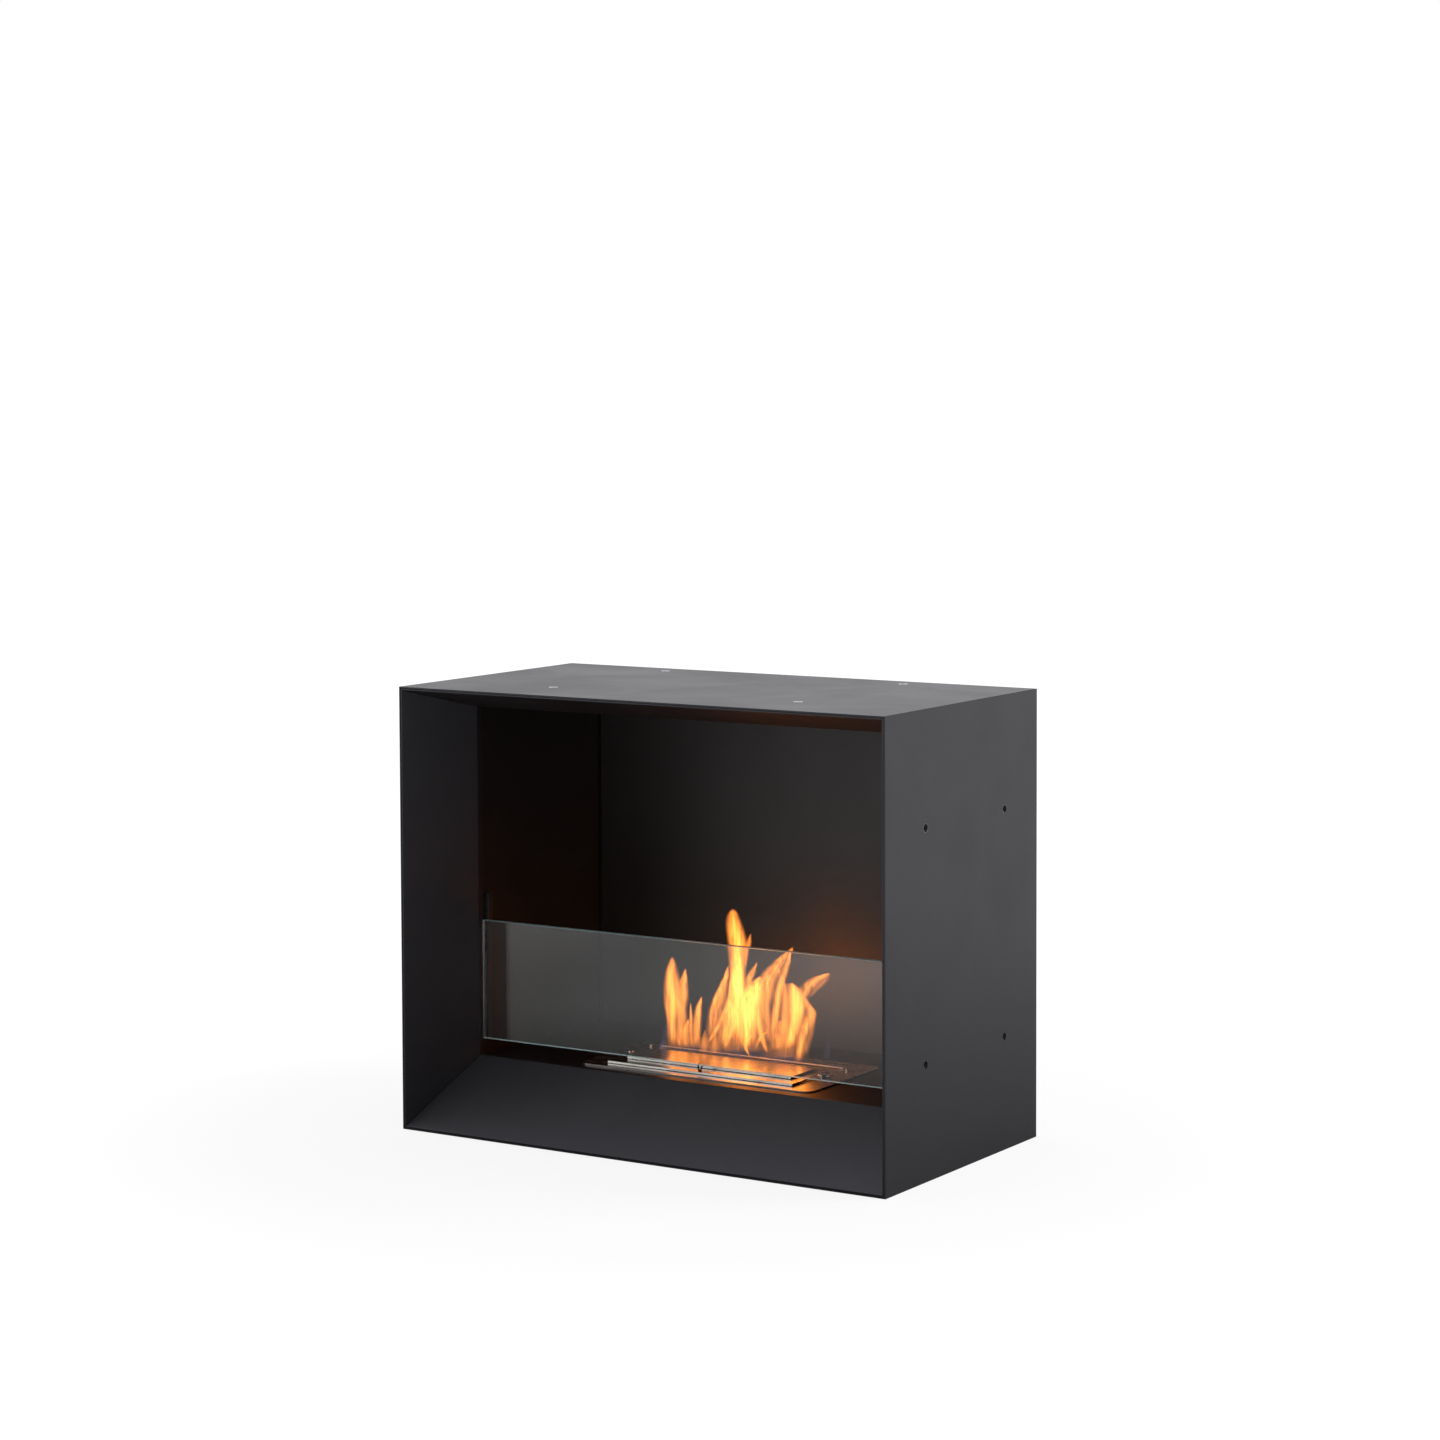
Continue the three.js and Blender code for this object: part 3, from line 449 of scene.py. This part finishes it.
# each solid: the new piece's name, body, material slot, finish, broken edge in mm and its segments
casing = ("casing", "black_paint", blackPaint)
firebox = ("casing", "firebox_paint", fireboxPaint)
guide = ("casing", "screw_black", blackOxide)
bracket = ("casing", "zinc_steel", zincSteel)
burner = ("burner", "stainless", satinStainless)
lid = ("slider", "stainless", satinStainless)
dressing = {
    "casing_left": ("wallLeft", *casing, 0.18, 2),
    "casing_right": ("wallRight", *casing, 0.18, 2),
    "casing_top": ("wallTop", *casing, 0.18, 2),
    "casing_bottom": ("wallBottom", *casing, 0.18, 2),
    "splay_left": ("splayLeft", *casing, 0.18, 2),
    "splay_right": ("splayRight", *casing, 0.18, 2),
    "splay_top": ("splayTop", *casing, 0.18, 2),
    "splay_bottom": ("splayBottom", *casing, 0.18, 2),
    "back_panel": ("backPanel", *casing, 0.2, 2),
    "firebox_wrap": ("fireboxWalls", *firebox, 0.2, 2),
    "firebox_ceiling": ("fireboxCeiling", *firebox, 0.2, 2),
    "firebox_floor": ("fireboxFloor", *firebox, 0.2, 2),
    "glass_guide_left": ("glassGuideLeft", *guide, 0.25, 2),
    "liner_bracket_bottom_left": ("linerBracketBottomLeft", *bracket, 0.2, 2),
    "liner_bracket_top_left": ("linerBracketTopLeft", *bracket, 0.2, 2),
    "glass_guide_right": ("glassGuideRight", *guide, 0.25, 2),
    "liner_bracket_bottom_right": ("linerBracketBottomRight", *bracket, 0.2, 2),
    "liner_bracket_top_right": ("linerBracketTopRight", *bracket, 0.2, 2),
    "glass_panel": ("guardGlassPanel", "glass", "clear_glass", guardGlass, 0.7, 2),
    "burner_flange": ("flangePlate", *burner, 0.25, 2),
    "burner_tank": ("fuelTank", *burner, 0.15, 2),
    # the rear rail's near-white finish is a painted highlight for the flames' light
    "burner_rear_rail": ("rearRail", "burner", "stainless", railPaintedBright, 0.3, 2),
    "slider_guide_stud_left": ("guideStudLeft", *burner, 0.1, 2),
    "slider_guide_stud_right": ("guideStudRight", *burner, 0.1, 2),
    "slider_stop_pin_left": ("stopPinLeft", *burner, 0.15, 2),
    "slider_stop_pin_right": ("stopPinRight", *burner, 0.15, 2),
    "ceramic_wool": ("fuelWool", "burner", "ceramic_wool", ceramicFibre, 1.2, 3),
    "slider_plate": ("lidPlate", *lid, 0.3, 2),
    "slider_cover": ("lidCover", *lid, 0.3, 2),
    "slider_pull_eye": ("pullEye", "slider", "stainless", nearBlackSteel, 0.1, 2),
}
dressed = {nodeName: dress(nodeName, *plan) for nodeName, plan in dressing.items()}
print("solids dressed")

# painted shade in the firebox's upright folds (darker, with almost no sheen), whose faces look neither straight
# back nor straight sideways
foldTurn = (0.05, 0.998)
walls = dressed["firebox_wrap"].data
walls.materials.append(foldShadePaint)
for face in walls.polygons:
    if foldTurn[0] < abs(face.normal.x) < foldTurn[1]:
        face.material_index = 1

# the glass is ground along its top and bottom edges, and left sharp at its hidden ends
glass = dressed["glass_panel"]
glass.data.materials.append(groundEdge)
for face in glass.data.polygons:
    face.material_index = 1 if abs(face.normal.z) > 0.9 else 0
breaks = glass.data.attributes["bevel_weight_edge"].data
for line in glass.data.edges:
    low, high = (glass.data.vertices[index].co.z for index in line.vertices)
    if abs(low - high) > 0.1 * mm:
        breaks[line.index].value = 0.0
glass.modifiers["brokenEdges"].material = 1

# small fasteners keep their solids and only get a finish
# the top nuts' near-white zinc is a painted highlight, and the side nuts' near-black zinc is painted shade
fasteners = {
    "mount_nut_top": zincPaintedLit,
    "mount_nut_left": zincPaintedShade,
    "mount_nut_right": zincPaintedShade,
    "back_panel_screw": blackOxide,
}
for nodeName, node in cadNodes.items():
    for start, finish in fasteners.items():
        if nodeName.startswith(start):
            for place in node.material_slots:
                place.material = finish
print("folds, glass edges and fasteners finished")

# each tongue: name, row Y, brighter side, then (x, z, half width, level) up its middle, lengths in mm
flamePlan = {
    "acrossView": Vector((0.8437, 0.5368, 0)),
    "awayFromView": Vector((-0.5368, 0.8437, 0)),
    "stepsUp": 34,
    "stepsAcross": 8,
    "lowest": 65.0,
    "spread": 1.36,
    "crossingSpread": 0.8,
    "leastHalf": 0.05,
    "bulge": 0.3,
    "sway": 0.35,
    "swayTurns": 0.16,
    "levelShare": 1.85,
    "tongues": [
        ("leftTall", 46, -0.35, [
            (-79.8, 66.9, 6.6, 0.33), (-82.3, 80.9, 4.8, 0.76), (-83.8, 94.4, 4.0, 1.14),
            (-83.1, 112.2, 6.6, 1.38), (-82.3, 128.6, 7.7, 1.42), (-82.3, 142.2, 6.3, 1.33),
            (-82.0, 153.1, 3.7, 1.09), (-82.2, 161.2, 0.4, 0.76)]),
        ("leftSecond", 50, 0.4, [
            (-74.2, 100.1, 3.1, 0.29), (-73.4, 115.2, 5.3, 0.75), (-73.0, 128.8, 5.3, 1.03),
            (-71.4, 138.5, 3.4, 1.09), (-68.4, 149.9, 0.3, 0.8)]),
        ("leftVeil", 49, 0.0, [
            (-76.6, 68.7, 9.0, 0.18), (-78.1, 87.7, 8.2, 0.38), (-78.0, 104.0, 8.7, 0.52),
            (-78.7, 118.9, 7.9, 0.52), (-79.5, 128.4, 4.1, 0.3)]),
        ("leftInner", 47, 0.2, [
            (-73.7, 68.0, 1.9, 0.5), (-75.2, 80.1, 3.0, 0.55), (-71.9, 96.8, 4.9, 0.5),
            (-75.0, 111.4, 4.6, 0.55), (-79.0, 119.9, 1.4, 0.3)]),
        ("leftBulb", 44, 0.2, [
            (-65.0, 70.1, 3.3, 0.5), (-66.3, 82.9, 4.3, 1.0), (-64.8, 91.2, 3.5, 1.05),
            (-61.3, 100.2, 0.3, 0.8)]),
        ("leftThread", 42, 0.0, [
            (-56.9, 71.3, 1.9, 0.5), (-57.8, 90.9, 1.9, 0.9), (-57.7, 105.8, 1.4, 0.95),
            (-57.6, 117.3, 0.3, 0.7)]),
        ("leftSpear", 47, 0.55, [
            (-55.4, 70.0, 4.3, 0.4), (-54.6, 87.7, 4.6, 0.8), (-53.3, 102.7, 4.1, 1.0),
            (-51.0, 113.8, 2.7, 1.05), (-48.2, 124.1, 0.3, 0.8)]),
        ("lowBud", 43, 0.2, [
            (-42.8, 66.5, 5.2, 0.12), (-42.5, 76.0, 4.6, 0.42), (-41.8, 84.0, 2.8, 0.5),
            (-41.0, 91.5, 0.3, 0.3)]),
        ("lowBudTwo", 41, -0.2, [
            (-30.2, 66.5, 4.6, 0.10), (-29.0, 76.0, 3.9, 0.34), (-28.0, 84.0, 2.3, 0.4),
            (-27.2, 90.5, 0.3, 0.2)]),
        ("leanFill", 52, 0.0, [
            (-39.2, 74.9, 5.4, 0.3), (-36.0, 95.5, 7.3, 0.55), (-31.9, 113.5, 7.6, 0.7),
            (-26.8, 130.2, 5.1, 0.85), (-21.9, 145.5, 2.4, 0.85), (-19.2, 156.8, 0.3, 0.6)]),
        ("leanEdge", 50, -0.3, [
            (-37.4, 88.9, 1.2, 0.4), (-39.4, 100.9, 1.6, 0.7), (-37.0, 112.0, 2.2, 0.8),
            (-30.9, 126.1, 2.7, 0.95), (-23.9, 138.9, 2.7, 0.95), (-20.2, 148.7, 1.9, 0.85),
            (-17.9, 157.8, 0.3, 0.6)]),
        ("crossStreak", 44, 0.0, [
            (-39.4, 76.2, 1.5, 0.5), (-31.7, 87.8, 2.2, 0.75), (-23.7, 100.8, 2.7, 0.9),
            (-16.5, 115.0, 3.0, 0.9), (-12.2, 128.9, 1.9, 0.7), (-10.1, 138.5, 0.5, 0.4)]),
        ("tallCore", 47, -0.1, [
            (-4.4, 74.6, 4.8, 0.34), (-5.4, 92.7, 7.0, 1.23), (-4.4, 111.7, 8.1, 2.13),
            (-4.7, 129.1, 7.8, 2.58), (-5.2, 146.5, 7.2, 2.46), (-5.8, 162.6, 7.4, 2.13),
            (-5.7, 174.7, 8.3, 1.79), (-7.6, 186.6, 8.0, 1.62), (-10.4, 197.1, 7.2, 1.4),
            (-12.2, 205.0, 5.9, 1.18), (-11.9, 210.7, 4.0, 0.9), (-10.9, 215.0, 1.1, 0.45)]),
        ("tallHeart", 45, -0.3, [
            (-10.1, 116.8, 1.9, 0.5), (-9.7, 128.9, 3.8, 1.1), (-8.7, 139.8, 4.0, 1.5),
            (-6.8, 152.1, 3.5, 1.2), (-5.5, 165.6, 2.4, 0.5)]),
        ("tallSpur", 51, 0.2, [
            (-0.1, 154.5, 2.1, 0.4), (1.5, 172.1, 3.2, 0.7), (4.0, 181.7, 2.7, 0.65), (6.9, 191.1, 0.4, 0.35)]),
        ("smallTip", 50, 0.3, [
            (3.5, 129.4, 3.5, 0.6), (5.1, 143.0, 4.0, 0.85), (9.9, 152.9, 3.2, 0.85), (15.6, 163.6, 0.3, 0.5)]),
        ("coreRight", 45, 0.1, [
            (7.8, 77.0, 5.1, 0.54), (7.4, 94.4, 8.6, 1.49), (8.8, 113.3, 11.8, 2.43), (12.3, 131.1, 9.7, 2.29),
            (18.3, 143.0, 6.2, 1.62), (22.2, 150.8, 1.8, 0.81)]),
        ("coreLeft", 50, -0.2, [
            (-22.9, 70.8, 3.9, 0.39), (-21.2, 87.9, 6.3, 1.04), (-16.4, 105.9, 6.8, 1.56),
            (-13.8, 121.0, 5.6, 1.43), (-14.7, 133.1, 3.0, 0.91), (-16.3, 145.0, 0.6, 0.52)]),
        ("coreFoot", 43, 0.0, [
            (5.2, 75.7, 3.2, 0.48), (5.2, 90.5, 4.6, 1.2), (6.9, 105.4, 5.9, 1.56), (9.3, 120.4, 5.4, 1.2),
            (11.7, 132.7, 2.1, 0.48)]),
        ("leanDeep", 54, -0.1, [
            (20.4, 113.0, 5.9, 0.34), (21.7, 129.2, 9.1, 0.86), (24.4, 141.5, 10.0, 0.98),
            (31.5, 153.6, 9.1, 0.98), (40.8, 166.5, 5.8, 0.92), (48.3, 175.2, 2.6, 0.8),
            (53.3, 181.0, 0.4, 0.57)]),
        ("leanBright", 51, 0.5, [
            (31.5, 79.7, 2.4, 0.4), (34.1, 101.4, 3.7, 0.8), (37.5, 121.9, 4.0, 1.0), (40.7, 138.2, 4.0, 1.05),
            (46.0, 154.1, 3.5, 1.05), (51.2, 168.3, 2.3, 1.0), (55.4, 183.1, 0.3, 0.7)]),
        ("leanFoot", 46, 0.0, [
            (33.8, 83.5, 2.9, 0.4), (30.0, 99.2, 4.8, 0.6), (26.9, 114.9, 6.1, 0.75), (25.4, 128.2, 4.8, 0.6),
            (24.7, 138.8, 1.6, 0.3)]),
        ("innerVee", 42, 0.2, [
            (32.3, 74.7, 1.3, 0.5), (26.9, 87.5, 2.9, 0.9), (23.1, 99.2, 3.7, 1.1), (20.6, 112.3, 3.5, 1.1),
            (18.5, 125.5, 1.1, 0.6)]),
        ("innerVeeLeft", 41, 0.0, [
            (-17.2, 75.0, 1.3, 0.4), (-12.1, 86.3, 2.4, 0.8), (-6.7, 99.0, 3.2, 1.0), (-1.3, 111.6, 2.9, 1.0),
            (1.9, 124.0, 0.8, 0.5)]),
        ("smallCross", 39, 0.0, [
            (14.2, 69.9, 1.2, 0.5), (8.9, 78.8, 1.7, 0.9), (11.6, 87.1, 2.1, 1.0), (20.6, 96.1, 0.4, 0.5)]),
        ("crossRight", 40, 0.0, [
            (19.6, 77.7, 1.2, 0.4), (24.3, 88.9, 2.1, 0.8), (29.8, 94.8, 1.6, 0.6), (36.0, 98.1, 0.3, 0.3)]),
        ("roundBud", 43, -0.15, [
            (41.8, 78.2, 5.9, 0.35), (45.8, 92.0, 7.7, 0.55), (48.3, 102.9, 6.4, 0.6),
            (47.4, 109.7, 2.7, 0.45)]),
        ("rightFill", 53, 0.0, [
            (50.5, 78.7, 10.7, 0.41), (53.6, 97.8, 12.8, 0.61), (56.8, 114.1, 14.4, 0.74),
            (58.6, 127.6, 11.7, 0.81), (55.3, 139.3, 8.0, 0.68), (50.7, 145.5, 3.2, 0.41)]),
        ("rightColumn", 46, -0.1, [
            (53.2, 79.5, 3.9, 0.65), (58.6, 95.5, 4.7, 1.23), (62.8, 111.9, 5.6, 1.76),
            (64.4, 128.0, 7.0, 1.95), (62.0, 139.1, 5.0, 1.56), (57.7, 148.1, 0.9, 0.78)]),
        ("rightMid", 50, 0.0, [
            (46.9, 93.6, 2.4, 0.4), (47.1, 113.6, 3.5, 0.6), (47.8, 129.7, 4.0, 0.65),
            (47.2, 139.0, 2.9, 0.55), (47.8, 146.5, 0.5, 0.3)]),
        ("rightEdge", 44, 0.3, [
            (66.7, 68.7, 4.8, 0.7), (69.0, 83.6, 3.7, 0.95), (72.6, 98.6, 4.2, 1.0), (78.5, 111.1, 5.6, 0.95),
            (81.9, 120.1, 4.5, 0.85), (77.9, 128.3, 2.9, 0.8), (73.8, 135.2, 1.1, 0.5)]),
        ("rightVeil", 51, 0.2, [
            (67.9, 74.2, 4.3, 0.2), (72.5, 88.1, 4.0, 0.25), (77.2, 103.2, 3.7, 0.3), (80.3, 114.1, 2.1, 0.3),
            (82.0, 120.9, 0.5, 0.2)]),
        ("lobe", 55, 0.1, [
            (64.1, 125.2, 1.5, 0.51), (67.3, 136.8, 5.9, 0.68), (74.9, 146.2, 7.4, 0.85),
            (84.1, 153.4, 6.4, 0.94), (91.3, 157.0, 4.1, 0.85), (95.0, 159.0, 0.9, 0.59)]),
        ("lobeRim", 54, 0.0, [
            (71.9, 130.4, 1.8, 0.15), (80.5, 140.9, 3.5, 0.23), (88.8, 149.0, 4.2, 0.25),
            (93.7, 155.4, 2.9, 0.23), (95.0, 159.1, 0.9, 0.15)]),
        ("baseLeft", 45, 0.0, [
            (-57.9, 68.0, 25.8, 0.1), (-56.3, 74.3, 23.7, 0.16), (-54.7, 81.2, 17.6, 0.08)]),
        ("baseMiddle", 48, 0.0, [
            (-5.9, 67.6, 32.3, 0.15), (-5.0, 80.5, 31.0, 0.38), (-4.2, 92.7, 25.6, 0.44),
            (-2.5, 106.3, 20.2, 0.25)]),
        ("baseRight", 48, 0.0, [
            (48.8, 68.7, 20.0, 0.12), (50.4, 80.9, 18.7, 0.25), (52.0, 91.8, 14.7, 0.15)]),
    ],
    "blueTongues": [
        ("blueLeft", 40, 0.0, [
            (-93.3, 61.7, 3.8, 0.12), (-89.2, 75.8, 3.3, 0.11), (-85.9, 88.4, 1.9, 0.07),
            (-84.7, 98.0, 0.4, 0.03)]),
        ("blueRight", 48, 0.0, [
            (95.7, 73.7, 4.0, 0.07), (97.3, 84.5, 2.7, 0.06), (98.8, 94.0, 1.3, 0.04),
            (99.6, 102.0, 0.4, 0.02)]),
        ("blueBaseLeft", 43, 0.0, [
            (-56.7, 62.4, 27.1, 0.09), (-56.6, 68.5, 25.8, 0.05), (-56.6, 73.2, 23.0, 0.01)]),
        ("blueBase", 43, 0.0, [
            (0.4, 64.4, 30.9, 0.09), (0.4, 71.1, 29.6, 0.06), (0.5, 77.9, 26.9, 0.02)]),
        ("blueBaseRight", 43, 0.0, [
            (50.3, 65.8, 21.4, 0.09), (50.3, 72.4, 20.0, 0.05), (50.4, 79.1, 18.7, 0.01)]),
    ],
}


def alongLine(points, share):
    # smooth line through the measured points
    count = len(points) - 1
    place = min(share * count, count - 1e-6)
    index = int(place)
    t = place - index
    before, start = points[max(index - 1, 0)], points[index]
    end, after = points[index + 1], points[min(index + 2, count)]
    return [0.5 * (2 * b + (c - a) * t + (2 * a - 5 * b + 4 * c - d) * t ** 2 + (3 * b - a - 3 * c + d) * t ** 3)
            for a, b, c, d in zip(before, start, end, after)]


def addTongue(form, tongue, crossing):
    # a soft ribbon that faces the photo's camera, or its flat twin that crosses it
    rowY, bias, line = tongue[1:]
    glow = form.verts.layers.float["glow"]
    brightSide = form.verts.layers.float["brightSide"]
    old = set(form.verts)
    bmesh.ops.create_grid(form, x_segments=flamePlan["stepsAcross"], y_segments=flamePlan["stepsUp"],
                          size=1, calc_uvs=True)
    new = [v for v in form.verts if v not in old]
    away = flamePlan["awayFromView"]
    across = away if crossing else flamePlan["acrossView"]
    spread = flamePlan["crossingSpread" if crossing else "spread"]
    bulge = 0.0 if crossing else flamePlan["bulge"]
    for v in new:
        side, share = v.co.x, (v.co.y + 1) / 2
        x, z, half, level = alongLine(line, share)
        half = max(half, flamePlan["leastHalf"]) * spread
        sway = flamePlan["sway"] * math.sin(z * flamePlan["swayTurns"] + x) * share
        centre = Vector((x + sway, rowY, max(z, flamePlan["lowest"])))
        v.co = (centre + across * side * half + away * (1 - side * side) * half * bulge) * mm
        v[glow] = max(level, 0.0) * flamePlan["levelShare"]
        v[brightSide] = bias


def makeFlames(name, tongues, material):
    form = bmesh.new()
    form.loops.layers.uv.new("flameChart")
    form.verts.layers.float.new("glow")
    form.verts.layers.float.new("brightSide")
    for tongue in tongues:
        addTongue(form, tongue, False)
        addTongue(form, tongue, True)
    piece = makeObject(name, form, material)
    piece.visible_shadow = False
    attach(piece, "burner")
    return piece


flames = makeFlames("flames", flamePlan["tongues"], flameLight)
blueFlames = makeFlames("blueFlames", flamePlan["blueTongues"], blueLight)
for piece in (flames, blueFlames):
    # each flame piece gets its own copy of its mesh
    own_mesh(piece)
print("flames made")

cameraFit = {
    "place": (1.830742, -2.868927, 0.771854),
    "right": (0.84369138, 0.53681482, -0.00383566),
    "up": (-0.02938862, 0.05332093, 0.99814487),
    "back": (0.53602348, -0.8420135, 0.06076266),
    "lens": 87.44,
    "sensor": 36,
    "shiftUp": -0.1111,
    "farthest": 100,
}
cameraData = bpy.data.cameras.new("photoCamera")
cameraData.lens = cameraFit["lens"]
cameraData.sensor_width = cameraFit["sensor"]
cameraData.shift_y = cameraFit["shiftUp"]
cameraData.clip_end = cameraFit["farthest"]
camera = bpy.data.objects.new("photoCamera", cameraData)
turn = Matrix((cameraFit["right"], cameraFit["up"], cameraFit["back"])).transposed().to_4x4()
camera.matrix_world = Matrix.Translation(cameraFit["place"]) @ turn
scene.collection.objects.link(camera)
scene.camera = camera

worldLook = {
    "seen": 1.0,
    "ambient": 0.20,
    "darkSide": (0.55, -0.83, 0.0),
    "darkRange": (0.25, 0.95),
    "darkest": 0.30,
}


def makeWorld():
    # white where it is seen, and dimmer in reflections on the side where the photographer stands
    world = bpy.data.worlds.new("paleStudio")
    world.use_nodes = True
    scene.world = world
    sky = world.node_tree
    background = sky.nodes["Background"]
    background.inputs["Color"].default_value = (1, 1, 1, 1)
    ray = sky.nodes.new("ShaderNodeLightPath")
    around = sky.nodes.new("ShaderNodeTexCoord")
    towards = sky.nodes.new("ShaderNodeVectorMath")
    towards.operation = "DOT_PRODUCT"
    sky.links.new(around.outputs["Generated"], towards.inputs[0])
    towards.inputs[1].default_value = worldLook["darkSide"]
    room = remap(sky, towards.outputs["Value"], *worldLook["darkRange"], 1.0, worldLook["darkest"])
    plain = math2(sky, "MAXIMUM", ray.outputs["Is Camera Ray"], ray.outputs["Is Transmission Ray"])
    indirect = remap(sky, ray.outputs["Is Glossy Ray"], 0, 1, worldLook["ambient"], worldLook["seen"], False)
    strength = math2(sky, "MAXIMUM", math2(sky, "MULTIPLY", room, indirect), plain)
    plug(sky, background.inputs["Strength"], strength)


makeWorld()

floorLook = {  # distances in metres from the object's middle
    "half": 14.0,
    "colour": (0.55, 0.55, 0.55),
    "roughness": 0.9,
    "white": 1.10,
    "clear": (0.40, 1.0),
    "leastWhite": 0.80,
    "mirrored": (0.10, 1.9),
    "mirroredRange": (0.22, 1.0),
    "brightFront": (-0.30, -0.65),
    "brightFrom": (-0.70, -0.22),
    "brighter": 1.0,
}


def makeFloor():
    # white far from the object, its own grey with the object's shadow close to it
    material, tree, shader, output = startMaterial("paleFloor")
    shader.inputs["Base Color"].default_value = (*floorLook["colour"], 1)
    shader.inputs["Roughness"].default_value = floorLook["roughness"]
    shader.inputs["Specular IOR Level"].default_value = 0.0
    white = tree.nodes.new("ShaderNodeEmission")
    white.inputs["Color"].default_value = (1, 1, 1, 1)
    length = tree.nodes.new("ShaderNodeVectorMath")
    length.operation = "LENGTH"
    tree.links.new(objectPoint(tree), length.inputs[0])
    far = remap(tree, length.outputs["Value"], *floorLook["clear"], floorLook["leastWhite"], 1.0)
    ray = tree.nodes.new("ShaderNodeLightPath")
    through = math2(tree, "MAXIMUM", ray.outputs["Is Glossy Ray"], ray.outputs["Is Transmission Ray"])
    seen = math2(tree, "MAXIMUM", ray.outputs["Is Camera Ray"], through)
    # in reflections the floor dims towards the object, and is brighter in front of it to the right
    mirrored = remap(tree, length.outputs["Value"], *floorLook["mirrored"], *floorLook["mirroredRange"])
    axes = tree.nodes.new("ShaderNodeSeparateXYZ")
    tree.links.new(objectPoint(tree), axes.inputs[0])
    inFront = remap(tree, axes.outputs[1], *floorLook["brightFront"])
    toRight = remap(tree, axes.outputs[0], *floorLook["brightFrom"], 0.0, floorLook["brighter"])
    patch = math2(tree, "MULTIPLY", inFront, toRight)
    mirrored = math2(tree, "MULTIPLY", mirrored, math2(tree, "ADD", 1.0, patch))
    darker = math2(tree, "SUBTRACT", floorLook["white"], mirrored)
    dim = math2(tree, "MULTIPLY", ray.outputs["Is Glossy Ray"], darker)
    plug(tree, white.inputs["Strength"], math2(tree, "SUBTRACT", floorLook["white"], dim))
    mixShaders(tree, math2(tree, "MULTIPLY", far, seen), shader, white, output)
    form = bmesh.new()
    bmesh.ops.create_grid(form, x_segments=1, y_segments=1, size=floorLook["half"])
    floor = makeObject("paleFloor", form, material)


makeFloor()

softLamps = {  # place, aimed at, size in metres, watts
    "overhead": ((-0.1, 0.1, 2.6), (0, 0, 0.2), 2.2, 44),
    "frontLeft": ((-2.4, -2.6, 1.5), (0, 0, 0.25), 1.6, 8),
    "rightRear": ((1.6, 0.9, 1.7), (0.2, 0, 0.4), 0.9, 24),
}
for name, (place, target, size, power) in softLamps.items():
    data = bpy.data.lights.new(name, "AREA")
    data.size = size
    data.energy = power
    lamp = bpy.data.objects.new(name, data)
    aim = (Vector(place) - Vector(target)).to_track_quat("Z", "Y")
    lamp.matrix_world = Matrix.Translation(place) @ aim.to_matrix().to_4x4()
    scene.collection.objects.link(lamp)

scene.view_settings.view_transform = "Standard"
print("studio set")
